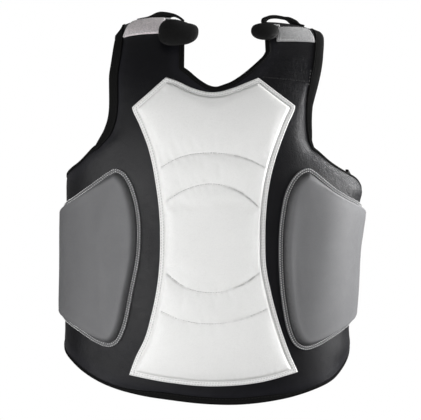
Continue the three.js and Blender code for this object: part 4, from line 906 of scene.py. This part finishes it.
def puff(d, flange, thick, rise, crown, groove=1.6):
    """Height of a sewn-on pad by distance from its outline: flat border, sewn groove, steep padded edge, crowned top."""
    edge = 3.0 * np.sqrt(np.clip(1 - (1 - np.clip(d / 1.1, 0, 1)) ** 2, 0, 1)) * 0.9 + 0.3
    cut = -groove * np.exp(-(((d - flange) / 0.9) ** 2))
    t = np.clip((d - flange) / rise, 0, 1)
    up = (thick - 3.0 - crown) * (1 - (1 - t) ** 2.6) + crown * (1 - np.exp(-np.maximum(d - flange, 0) / 28))
    return np.minimum(edge, 3.0) + cut + up


height = puff(d_edge, FL, 10.8, 5.0, 2.2, 1.1)
inside = smooth((d_edge - FL) / 8)
height += 0.22 * ripples(s_edge, 3, 8.0) * np.exp(-(((d_edge - FL - 4) / 4.5) ** 2))


def channel_pull(u, k, s):
    """How hard a sewn channel is pulled down along its way: most to the right, least over the middle."""
    left, right = CHANNEL_PULL[k]
    return np.clip(0.39 + (right + 0.1) * smooth((u - 0.05) / 0.45) + left * smooth((-u - 0.25) / 0.4) + 0.22 * ripples(s, 90 + k, 9.0), 0.15, 1.15)


CHANNEL_PULL = [(0.05, 0.35), (0.38, 0.5), (0.25, 0.55), (0.05, 0.35)]
channels = []
# Painted shade: the groove just inside the border is darkened, more towards the right.
painted_shade_mask = (0.1 + 0.36 * smooth((U - 0.2) / 0.6)) * np.exp(-(((d_edge - FL) / 0.8) ** 2))
for k, values in enumerate(PAD_CHANNELS):
    ends = 1.0 - FL / 80
    cu = np.linspace(-ends, ends, 121)
    line = pad_place(cu, five(values)(cu)["up"])
    channels.append(line)
    d, s = near_line(flat, line)
    pulled = channel_pull(U, k, s)
    height -= inside * (2.4 * pulled * np.exp(-((d / 1.05) ** 2)) + 0.8 * np.exp(-((d / 6.0) ** 2)))
    height += inside * 0.2 * ripples(s, 20 + k, 7.0) * np.exp(-(((d - 3.5) / 3.5) ** 2))
    # Painted shade in the bottom of each sewn channel, darkest where it is pulled down hardest.
    painted_shade_mask += inside * np.clip(1.25 * pulled - 0.42, 0, 1) * np.exp(-((d / 0.9) ** 2))
PP, NN = on_chest(flat[..., 0], flat[..., 1])
sewn_down = np.exp(-((np.maximum(d_edge - FL, 0) / 1.2) ** 4))
for c in channels:
    sewn_down = np.maximum(sewn_down, (near_line(flat, c)[0] < 2.3) * inside)
ri, ci = every(height.shape[0], 3), every(height.shape[1], 3)
pick = np.ix_(ri, ci)
start = (PP + NN * height[..., None])[pick]
puffed = swell("center_pad_skin", start, grid_faces(len(ri), len(ci)), sewn_down[pick].ravel(), 4.0, 1.8, 0.006).reshape(start.shape)
lift = spread((puffed * NN[pick]).sum(-1), ri, ci, *height.shape)
height += lift * inside
top = PP + NN * height[..., None]
pts, faces = closed_plate(top, PP + NN * 0.12)
wear = np.concatenate([(0.35 * np.exp(-((d_edge - 1.2) / 1.5) ** 2)).ravel(), np.zeros(d_edge.size)])
painted_shade_mask = np.concatenate([np.clip(painted_shade_mask, 0, 1).ravel(), np.zeros(d_edge.size)])
pad = outward(make("center_pad_cover", pts, faces, [WHITE], None, {"wear": wear, "painted_shade": painted_shade_mask}))
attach(pad, "root")
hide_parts("center_pad")


def inset_line(outline, d, closed=True):
    """The outline moved inwards by d in its flat chart, with the corners kept tidy."""
    ring = np.asarray(outline, float)
    t = unit(np.roll(ring, -1, 0) - np.roll(ring, 1, 0))
    area = 0.5 * np.sum(ring[:, 0] * np.roll(ring[:, 1], -1) - np.roll(ring[:, 0], -1) * ring[:, 1])
    nrm = np.stack([-t[:, 1], t[:, 0]], -1) * np.sign(area)
    moved = ring + nrm * d
    gap = near_line(moved, ring, closed=True)[0]
    return moved[gap > d * 0.93]


def chest_row(line, h):
    P, N = on_chest(line[:, 0], line[:, 1])
    return P + N * h, N


def pad_top_at(line):
    """Height of the white pad's surface along a line."""
    d, _ = near_line(line, pad_outline, closed=True)
    h = puff(d, FL, 10.8, 5.0, 2.2, 1.1)
    for c in channels:
        q, _ = near_line(line, c)
        h = h - smooth((d - FL) / 8) * 0.8 * np.exp(-((q / 6.0) ** 2))
    return h


rows_out = []
for d, h in ((2.0, 2.95), (4.9, 2.95)):
    ring = inset_line(pad_outline, d)
    ring = np.concatenate([ring, ring[:1]])
    rows_out.append(stitch_row(*chest_row(ring, h), 2.6, 3.7, 0.4))
sewn("center_pad_border_stitches", rows_out, THREAD_WHITE)
rows_in = []
for c in channels:
    line = resample(c, 1.0)
    P, N = on_chest(line[:, 0], line[:, 1])
    u = line[:, 0] / np.where(line[:, 0] < 0, PAD_WIDTH(line[:, 1])["left"], PAD_WIDTH(line[:, 1])["right"])
    at = np.concatenate([[0], np.cumsum(np.linalg.norm(np.diff(line, axis=0), axis=1))])
    down = pad_top_at(line) - 2.4 * channel_pull(u, len(rows_in), at)
    rows_in.append(stitch_row(P + N * (down + 0.05)[:, None], N, 2.5, 3.4, 0.42))
sewn("center_pad_channel_stitches", rows_in, THREAD_SEAM)

# ------------------------------------------------------------------ side pads
AROUND = 3.05
SIDE_FLANGE = 5.6


def closed_curve(points, n):
    """Smooth closed curve through points, evenly spaced."""
    p = np.asarray(points, float)
    m = (np.roll(p, -1, 0) - np.roll(p, 1, 0)) / 2
    out = []
    for i in range(len(p)):
        j = (i + 1) % len(p)
        s = np.linspace(0, 1, 24, endpoint=False)[:, None]
        out.append((2 * s**3 - 3 * s**2 + 1) * p[i] + (s**3 - 2 * s**2 + s) * m[i] * 0.9 + (3 * s**2 - 2 * s**3) * p[j] + (s**3 - s**2) * m[j] * 0.9)
    ring = np.concatenate(out)
    long = np.concatenate([[0], np.cumsum(np.linalg.norm(np.diff(np.concatenate([ring, ring[:1]]), axis=0), axis=1))])
    at = np.linspace(0, long[-1], n, endpoint=False)
    ring = np.concatenate([ring, ring[:1]])
    return np.stack([np.interp(at, long, ring[:, 0]), np.interp(at, long, ring[:, 1])], -1)


for side in ("left", "right"):
    sign = -1 if side == "left" else 1
    raw = np.array(SIDE_OUTLINE[side]) * [AROUND, 1]
    ring = closed_curve(raw, 300)
    center = np.array([72 * AROUND, -66.0])
    shrink = np.concatenate([1 - np.concatenate([[0, 0.35, 0.8, 1.4], np.arange(2.0, 12.1, 0.5), np.arange(12.8, 24, 0.9)]) / 95, np.linspace(0.735, 0.03, 30)])
    chart = center + (ring - center)[None] * shrink[:, None, None]
    d, s = near_line(chart, ring, closed=True)
    front = 1 - smooth((chart[..., 0] / AROUND - 45) / 16)
    rise = lerp(4.2, 10.0, front)
    h = puff(d, SIDE_FLANGE, 11.0, rise, 1.6, lerp(0.35, 1.9, front))
    if side == "right":
        h = h - 3.0 * np.exp(-(((chart[..., 1] + 58) / 42) ** 2)) * smooth((chart[..., 0] / AROUND - 62) / 22) * smooth((d - 8) / 20)
    h += 0.16 * ripples(s, 40 + (side == "left"), 8.5) * np.exp(-(((d - 9) / 3.5) ** 2))
    # Painted shade: on the front edges the padded slope just inside the border is darkened, the right pad more than the
    # left; a faint dark line follows the border elsewhere.
    fold = smooth((d - SIDE_FLANGE + 0.7) / 0.9) * (1 - smooth((d - SIDE_FLANGE - 1.5) / 6.5))
    painted_shade_mask = 0.1 * np.exp(-(((d - SIDE_FLANGE - 0.2) / 1.1) ** 2)) * (1 - front) + (0.62 if side == "left" else 0.9) * front * fold
    # The flat border is darkened too.
    painted_shade_mask = painted_shade_mask + 0.3 * smooth((SIDE_FLANGE - 0.4 - d) / 0.4)
    P, N = on_trunk(sign * chart[..., 0] / AROUND, chart[..., 1])
    MP, MN = on_trunk(sign * center[0] / AROUND, center[1])
    ri, ci = every(h.shape[0], 2), np.arange(0, h.shape[1], 4)
    pick = np.ix_(ri, ci)
    start = (P + N * h[..., None])[pick]
    quads = grid_faces(len(ri), len(ci), wrap=True, flip=side == "right").tolist()
    last_ring = (len(ri) - 1) * len(ci) + np.arange(len(ci))
    hub = len(ri) * len(ci)
    quads += [[int(a), int(b), hub][::-1 if side == "right" else 1] for a, b in zip(last_ring, np.roll(last_ring, -1))]
    sewn_down = np.exp(-((np.maximum(d - SIDE_FLANGE, 0) / 1.2) ** 4))[pick].ravel()
    skin = np.concatenate([start.reshape(-1, 3), [MP + MN * (h[-1].mean() + 0.02)]])
    puffed = swell(f"side_pad_{side}_skin", skin, quads, np.append(sewn_down, 0.0), 0.45, 1.6)[:-1].reshape(start.shape)
    lift = (puffed * N[pick]).sum(-1)
    for _ in range(6):
        lift = 0.5 * lift + 0.25 * (np.roll(lift, 1, 1) + np.roll(lift, -1, 1))
    lift = spread(np.concatenate([lift, lift[:, :1]], 1), ri, np.append(ci, h.shape[1]), h.shape[0], h.shape[1] + 1)[:, :-1]
    h = h + lift * smooth((d - SIDE_FLANGE) / 6)
    top, low = P + N * h[..., None], P + N * 0.12
    r, c = top.shape[:2]
    pts = np.concatenate([top.reshape(-1, 3), low.reshape(-1, 3), [MP + MN * (h[-1].mean() + 0.02)], [MP + MN * 0.12]])
    faces = grid_faces(r, c, wrap=True).tolist() + grid_faces(r, c, r * c, wrap=True, flip=True).tolist()
    for j in range(c):
        k = (j + 1) % c
        faces.append([j, r * c + j, r * c + k, k])
        faces.append([(r - 1) * c + j, (r - 1) * c + k, 2 * r * c])
        faces.append([r * c + (r - 1) * c + k, r * c + (r - 1) * c + j, 2 * r * c + 1])
    wear = np.concatenate([(0.5 * np.exp(-((d - 0.8) / 1.2) ** 2) + 0.15 * np.exp(-((d - 14) / 5.0) ** 2)).ravel(), np.zeros(d.size + 2)])
    painted_shade_mask = np.concatenate([np.clip(painted_shade_mask, 0, 1).ravel(), np.zeros(d.size + 2)])
    obj = outward(make(f"side_pad_{side}_cover", pts, faces, [GREY], None, {"wear": wear, "painted_shade": painted_shade_mask}))
    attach(obj, "root")
    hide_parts(f"side_pad_{side}")
    rows_out = []
    for dist, lean in ((1.2, 0.45), (4.4, -0.45)):
        line = inset_line(ring, dist)
        line = np.concatenate([line, line[:1]])
        Q, M = on_trunk(sign * line[:, 0] / AROUND, line[:, 1])
        rows_out.append(stitch_row(Q + M * 2.95, M, 1.8, 3.1, 0.64, slant=lean))
    sewn(f"side_pad_{side}_stitches", rows_out, THREAD_GREY)


# ------------------------------------------------------------------ shoulder pieces
for side in ("left", "right"):
    row = PATCHES[side]
    a, b = np.meshgrid(np.linspace(0, 1, 48), np.linspace(0, 1, 36))
    lean = 1.1 if side == "left" else 2.0
    x = lerp(lerp(row["outer"], row["outerTop"], b**lean), row["inner"], a)
    up = lerp(lerp(row["outerLow"], row["innerLow"], a), lerp(row["outerHigh"], row["innerHigh"], a), b)
    P, N = on_chest(x, up)
    P = P - sink_way(P, N) * np.minimum(sunk(P), 0)[..., None]
    rim = np.minimum(np.minimum(a, 1 - a) * abs(row["outer"] - row["inner"]), np.minimum(b, 1 - b) * 45)
    h = 0.7 + 1.2 * (1 - np.exp(-rim / 1.0)) - 0.35 * np.exp(-((rim - 2.4) / 0.7) ** 2) + 0.12 * rng.standard_normal(a.shape) * (rim > 3)
    pts, faces = closed_plate(P + N * h[..., None], P + N * 0.35)
    obj = outward(make(f"shoulder_patch_{side}_pile", pts, faces, [PATCH_PAINTED_LIGHT[side]]))
    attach(obj, "root")
    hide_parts(f"shoulder_patch_{side}")
    line = []
    f1, f2 = np.linspace(0.045, 0.955, 60), np.linspace(0.06, 0.94, 50)
    loop_ab = np.concatenate([np.stack([f1, 0 * f1 + 0.06], 1), np.stack([0 * f2 + 0.955, f2], 1), np.stack([f1[::-1], 0 * f1 + 0.94], 1), np.stack([0 * f2 + 0.045, f2[::-1]], 1)])
    a, b = loop_ab[:, 0], loop_ab[:, 1]
    P, N = on_chest(lerp(lerp(row["outer"], row["outerTop"], b**lean), row["inner"], a), lerp(lerp(row["outerLow"], row["innerLow"], a), lerp(row["outerHigh"], row["innerHigh"], a), b))
    P = P - sink_way(P, N) * np.minimum(sunk(P), 0)[..., None]
    sewn(f"shoulder_patch_{side}_stitches", [stitch_row(P + N * 1.75, N, 2.6, 3.6, 0.38)], THREAD_LIGHT)

    row = TABS[side]
    count, rings = 96, 22
    ang = np.arange(count) / count * 2 * math.pi
    rad = np.sin(np.linspace(math.pi / 2, 0.04, rings))
    full = 2 / (2.75 if side == "left" else 2.25)
    ca, sa = np.sign(np.cos(ang)) * np.abs(np.cos(ang)) ** full, np.sign(np.sin(ang)) * np.abs(np.sin(ang)) ** full
    x = row["x"] + row["wide"] * rad[:, None] * ca
    up = row["up"] + row["high"] * rad[:, None] * sa - row["slant"] * np.sign(row["x"]) * (row["x"] - x)
    P, N = on_chest(x, up)
    # One even direction for the whole tab keeps its rim from creasing over the strap's edge.
    MP, MN = on_chest(row["x"], row["up"])
    N = unit(N * 0.35 + MN * 0.65)
    dome = np.sqrt(np.clip(1 - rad**2.6, 0, 1))
    top = P + N * (2.9 + 4.6 + 6.3 * dome)[:, None, None]
    low = P + N * (2.9 + 4.6 - 4.3 * dome)[:, None, None]
    seam = 0.25 * np.sin(ang * 31)[None, :] * np.exp(-((1 - rad) / 0.05))[:, None]
    top += N * seam[..., None]
    r, c = top.shape[:2]
    pts = np.concatenate([top.reshape(-1, 3), low[1:].reshape(-1, 3), [MP + N[-1].mean(0) * (2.9 + 10.9)], [MP + N[-1].mean(0) * 3.2]])
    faces = grid_faces(r, c, wrap=True).tolist()
    lowrow = lambda i, j: j if i == 0 else r * c + (i - 1) * c + j
    for i in range(r - 1):
        for j in range(c):
            k = (j + 1) % c
            faces.append([lowrow(i, k), lowrow(i, j), lowrow(i + 1, j), lowrow(i + 1, k)])
    for j in range(c):
        k = (j + 1) % c
        faces.append([(r - 1) * c + j, (r - 1) * c + k, len(pts) - 2])
        faces.append([lowrow(r - 1, k), lowrow(r - 1, j), len(pts) - 1])
    obj = outward(make(f"shoulder_tab_{side}_cover", pts, faces, [TABMAT]))
    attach(obj, "root")
    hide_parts(f"shoulder_tab_{side}")
    i = 4
    ring_p = np.concatenate([top[i], top[i][:1]])
    ring_n = np.concatenate([N[i], N[i][:1]])
    sewn(f"shoulder_tab_{side}_stitches", [stitch_row(ring_p, unit(ring_n + 0.5 * unit(ring_p - MP)), 2.2, 3.2, 0.34)], THREAD_DARK)


def band(name, centre, side_dir, up_dir, width, thick, node_name, mat, wave=0.0):
    """Webbing along a line: centre of its underside, direction across, direction out."""
    n = len(centre)
    prof = np.array([[-0.5, 0.18], [-0.485, 0.02], [-0.4, 0.0], [0.0, 0.0], [0.4, 0.0], [0.485, 0.02], [0.5, 0.18],
                     [0.5, 0.8], [0.485, 0.97], [0.4, 1.0], [0.2, 1.0], [0.0, 1.0], [-0.2, 1.0], [-0.4, 1.0], [-0.485, 0.97], [-0.5, 0.8]])
    thick = np.broadcast_to(thick, n)
    sec = centre[:, None] + side_dir[:, None] * (prof[:, 0] * width)[None, :, None] + up_dir[:, None] * (thick[:, None] * prof[:, 1])[..., None]
    pts, faces = swept(sec)
    along = np.concatenate([[0], np.cumsum(np.linalg.norm(np.diff(centre, axis=0), axis=1))])
    lay = np.stack([np.repeat(along[:, None], len(prof), 1), np.repeat((prof[:, 0] * width + prof[:, 1] * thick[0] * 0.1)[None], n, 0), np.zeros((n, len(prof)))], -1)
    obj = outward(make(name, pts, faces, [mat], None, {"lay": lay.reshape(-1, 3) * 0.001}))
    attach(obj, "root")
    if node_name:
        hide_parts(node_name)
    return obj


for side in ("left", "right"):
    path = np.array(LOOPS[side], float)
    key = np.concatenate([[0], np.cumsum(np.hypot(*np.diff(path[:, :2], axis=0).T))])
    q = Curve(["s", "x", "h", "rx", "rh"], np.column_stack([key, path]))(np.linspace(0, key[-1], 90))

    def loop_edge(x, h, back):
        P, N = on_chest(x, np.full(len(x), LOOP_FROM))
        return P + unit(N * [1, 0, 1]) * h[:, None] + [0, back, 0]

    front, rear = loop_edge(q["x"], q["h"], 0.0), loop_edge(q["rx"], q["rh"], LOOP_WIDTH)
    mid = (front + rear) / 2
    across = unit(rear - front)
    t = unit(np.gradient(mid, axis=0))
    out = unit(np.cross(across, t))
    out *= np.sign(out[:, 2].mean())
    # The webbing is folded double where it is sewn in.
    if side == "left":
        under = 3.0 * smooth((q["x"] + 88) / 8) * (1 - smooth((q["x"] + 64) / 9))
        over_it = 0 * under
    else:
        under = 0 * q["x"]
        over_it = 2.0 * (1 - smooth((np.linspace(0, key[-1], 90) - 1.5) / 6)) + 1.8 * smooth((q["x"] - 98) / 9) * (1 - smooth((q["x"] - 116) / 6))
    band(f"strap_loop_{side}_webbing", mid - out * (0.45 + under)[:, None], across, out, LOOP_WIDTH, WEB + 0.9 + under + over_it, f"strap_loop_{side}", WEBBING)
    # Bar tacks: close rows of thread where the loop is sewn down.
    rows_out = []
    foot = -1 if side == "right" else 0
    for k, base in enumerate((4, 8) if side == "left" else (-5, -9)):
        for dy in np.linspace(-LOOP_WIDTH / 2 + 1.5, LOOP_WIDTH / 2 - 1.5, 9):
            p = mid[base] + out[base] * (WEB + 0.05) + np.array([0, dy, 0])
            seg = np.array([p - t[base] * 1.6, p, p + t[base] * 1.6])
            rows_out.append(stitch_row(seg, np.tile(out[base], (3, 1)), 2.0, 1.7, 0.4))
    sewn(f"strap_loop_{side}_tacks", rows_out, THREAD_DARK)
    # Light tack on the strap beside the tab.
    x0, up0 = (-61.0, 284.0) if side == "left" else (87.5, 270.0)
    rows_out = []
    for k in range(7):
        xs = x0 + np.linspace(-3.2, 3.2, 5)
        P, N = on_chest(xs, np.full(5, up0 + (k - 3) * 1.1))
        rows_out.append(stitch_row(P + N * 0.6, N, 2.6, 1.5, 0.6))
    sewn(f"strap_tack_{side}", rows_out, THREAD_LIGHT)

# Small webbing end inside the right wing.
a0 = WING_TAB["angle"]
s0, n0 = on_trunk(a0, WING_EDGES(np.array(a0))["top"])
fwd = on_trunk(a0 - 1, WING_EDGES(np.array(a0 - 1.0))["top"])[0] - on_trunk(a0 + 1, WING_EDGES(np.array(a0 + 1.0))["top"])[0]
fwd = unit(fwd)
upw = unit(np.cross(n0, fwd))
upw = upw if upw[2] > 0 else -upw
rows_t = np.array(WING_TAB["rows"], float)
kk = np.linspace(0, len(rows_t) - 1, 40)
ee, nn = np.interp(kk, range(len(rows_t)), rows_t[:, 0]), np.interp(kk, range(len(rows_t)), rows_t[:, 1])
mid = s0 + upw * ee[:, None] + n0 * nn[:, None]
t = unit(np.gradient(mid, axis=0))
dirs = np.tile(fwd, (len(mid), 1))
out = unit(np.cross(dirs, t))
out *= np.sign((out @ -n0).mean())
band("wing_tab_right_webbing", mid, dirs, out, WING_TAB["width"], WEB + 2.0, "wing_tab_right", WEBBING)

# ------------------------------------------------------------------ plain back
ang = np.linspace(BELT["start"], 360 - BELT["start"], 120)
v = np.linspace(0, 1, 22)
A, Z = np.meshgrid(ang, lerp(BELT["bottom"], BELT["top"], v))
P, N = on_trunk(A, Z)
edge = np.minimum(v, 1 - v)[:, None] * (BELT["top"] - BELT["bottom"])
h = 0.8 + BELT["thick"] * (0.55 + 0.45 * (1 - np.exp(-edge / 1.5))) + 0 * A
low = 0.75 + 0 * A
pts, faces = closed_plate(P + N * h[..., None], P + N * low[..., None])
along = np.concatenate([[0], np.cumsum(np.linalg.norm(np.diff(P[11], axis=0), axis=1))])
lay = np.stack([np.repeat(along[None], len(v), 0), Z - BELT["bottom"], 0 * Z], -1).reshape(-1, 3) * 0.001
belt = outward(make("back_belt_band", pts, faces, [woven("belt_elastic", 0.010, 0.020, 0.72, along=0.0030, across=0.0042, depth=0.0006)], None, {"lay": np.concatenate([lay, lay])}))
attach(belt, "root")
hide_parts("back_belt")
rows_out = []
for a_at in (BELT["start"] + 1.2, BELT["start"] + 3.0, 360 - BELT["start"] - 1.2, 360 - BELT["start"] - 3.0):
    P, N = on_trunk(np.full(60, a_at), np.linspace(BELT["bottom"] + 3, BELT["top"] - 3, 60))
    rows_out.append(stitch_row(P + N * 3.85, N, 2.8, 3.8, 0.42))
sewn("back_belt_stitches", rows_out, THREAD_DARK)

for side, S in (("left", "Left"), ("right", "Right")):
    E = STRAP_EDGES(np.array(float(BACK_STRAP["seat"][1])))
    xm, w = float(E["out" + S] + E["in" + S]) / 2, BACK_STRAP["width"] / 2
    seat = np.linspace(*BACK_STRAP["seat"], 5)
    L, R = on_chest(np.full(5, xm - w), seat)[0], on_chest(np.full(5, xm + w), seat)[0]
    Nn = on_chest(np.full(5, xm), seat)[1]
    way = [(np.array([L[i, 1], L[i, 2]]) + Nn[i, 1:] * 1.9, np.array([R[i, 1], R[i, 2]]) + Nn[i, 1:] * 1.9, Nn[i, 1:]) for i in range(5)]
    low = []
    for z in (BACK_STRAP["bend"], BACK_STRAP["end"]):
        ys = [trunk(180 - angle_at(np.array(xm + d), np.array(float(z))), np.array(float(z)))[1] for d in (-w, 0, w)]
        y = max(ys) + 1.0 + BELT["thick"] + 1.2
        low.append((np.array([y, z]), np.array([y, z]), np.array([1.0, 0.0])))
    s_, b_ = way[4], low[0]
    mid_rows = []
    for f in (0.25, 0.5, 0.75):
        dy, dz = b_[0] - s_[0]
        long = math.hypot(dy, dz)
        bulge = np.array([6 * math.sin(math.pi * f), 0])
        mid_rows.append((lerp(s_[0], b_[0], f) + bulge, lerp(s_[1], b_[1], f) + bulge, np.array([-dz / long, dy / long])))
    way = way + mid_rows + low
    key = np.concatenate([[0], np.cumsum([np.linalg.norm(way[i + 1][0] - way[i][0]) for i in range(len(way) - 1)])])
    rows_c = np.array([[k, *p[0], *p[1], *p[2]] for k, p in zip(key, way)])
    fine = Curve(["s", "y", "z", "y2", "z2", "ny", "nz"], rows_c)(np.linspace(0, key[-1], 130))
    left_e = np.stack([np.full(130, xm - w), fine["y"], fine["z"]], -1)
    right_e = np.stack([np.full(130, xm + w), fine["y2"], fine["z2"]], -1)
    out = unit(np.stack([np.zeros(130), fine["ny"], fine["nz"]], -1))
    obj = band(f"back_strap_{side}_webbing", (left_e + right_e) / 2, unit(right_e - left_e), out, 2 * w, WEB, f"back_strap_{side}", WEBBING)
    rows_out = []
    for lo_i, hi_i in ((3, 16), (112, 127)):
        i0, i1 = lo_i, hi_i
        mids, sd = (left_e + right_e) / 2, unit(right_e - left_e)
        corner = lambda i, s: mids[i] + sd[i] * s * (w - 3) + out[i] * (WEB + 0.1)
        for (ia, sa), (ib, sb) in (((i0, -1), (i0, 1)), ((i1, -1), (i1, 1)), ((i0, -1), (i1, -1)), ((i0, 1), (i1, 1)), ((i0, -1), (i1, 1)), ((i0, 1), (i1, -1))):
            k = np.linspace(0, 1, 24)
            ii = lerp(ia, ib, k)
            ss = lerp(sa, sb, k)
            base = np.stack([np.interp(ii, np.arange(130), mids[:, c]) for c in range(3)], -1)
            sdi = np.stack([np.interp(ii, np.arange(130), sd[:, c]) for c in range(3)], -1)
            oi = unit(np.stack([np.interp(ii, np.arange(130), out[:, c]) for c in range(3)], -1))
            line = base + sdi * (ss * (w - 3))[:, None] + oi * (WEB + 0.1)
            rows_out.append(stitch_row(line, oi, 2.6, 3.4, 0.4))
    sewn(f"back_strap_{side}_stitches", rows_out, THREAD_DARK)

# ------------------------------------------------------------------ stage, light
stage_mat, nt, bsdf = new_material("stage_white")
for nd in list(nt.nodes):
    nt.nodes.remove(nd)
so = nt.nodes.new("ShaderNodeOutputMaterial")
em = nt.nodes.new("ShaderNodeEmission")
em.inputs["Color"].default_value = (1, 1, 1, 1)
em.inputs["Strength"].default_value = 1.0
nt.links.new(em.outputs[0], so.inputs[0])
floor_z, back_y = -0.62, 4.5
prof = [(-3.5, floor_z)] + [(y, floor_z) for y in np.linspace(-3.0, back_y - 0.8, 6)]
for th in np.linspace(0, math.pi / 2, 12)[1:]:
    prof.append((back_y - 0.8 + 0.8 * math.sin(th), floor_z + 0.8 * (1 - math.cos(th))))
prof += [(back_y, 1.2), (back_y, 2.6)]
prof = np.array(prof)
xs = np.linspace(-10, 10, 9)
pts = np.array([[x, y, z] for y, z in prof for x in xs])
floor = make("floor", pts, grid_faces(len(prof), len(xs)).tolist(), [stage_mat], raw=True)
floor.visible_diffuse = False
floor.visible_glossy = False

world = bpy.data.worlds.new("world")
scene.world = world
world.use_nodes = True
wt = world.node_tree
bg = wt.nodes["Background"]
bg.inputs["Color"].default_value = (1, 1, 1, 1)
sky = node(wt, "ShaderNodeSeparateXYZ", {0: node(wt, "ShaderNodeTexCoord").outputs["Generated"]})
wt.links.new(node(wt, "ShaderNodeMapRange", {"Value": sky.outputs[2], "From Min": -0.5, "From Max": 0.9, "To Min": 0.20, "To Max": 0.15}).outputs[0], bg.inputs["Strength"])


def area(name, at, to, size, power, size_y=None):
    light = bpy.data.lights.new(name, "AREA")
    light.shape = "RECTANGLE"
    light.size, light.size_y = size, size_y or size
    light.energy = power
    obj = bpy.data.objects.new(name, light)
    scene.collection.objects.link(obj)
    obj.location = at
    obj.rotation_euler = (Vector(to) - Vector(at)).to_track_quat("-Z", "Y").to_euler()
    return obj


target = (0, -0.05, -0.28)
area("key_left", (-1.299, -0.8, -0.5), target, 1.3, 17.4, 1.3)
area("key_front", (-0.61, -1.42, -0.5), target, 0.9, 13.2, 0.9)
area("side_right", (1.9, -0.017, -0.25), (0, -0.05, -0.25), 0.8, 38, 1.0)
area("fill_right", (1.785, -0.7, -0.25), (0, -0.05, -0.25), 0.5, 13, 1.0)
area("rim_right", (1.675, 0.494, 0.462), (0, -0.05, -0.25), 0.5, 50, 0.6)

scene.view_settings.view_transform = "Standard"
scene.view_settings.look = "None"
scene.view_settings.exposure = 0.0
scene.view_settings.gamma = 1.0
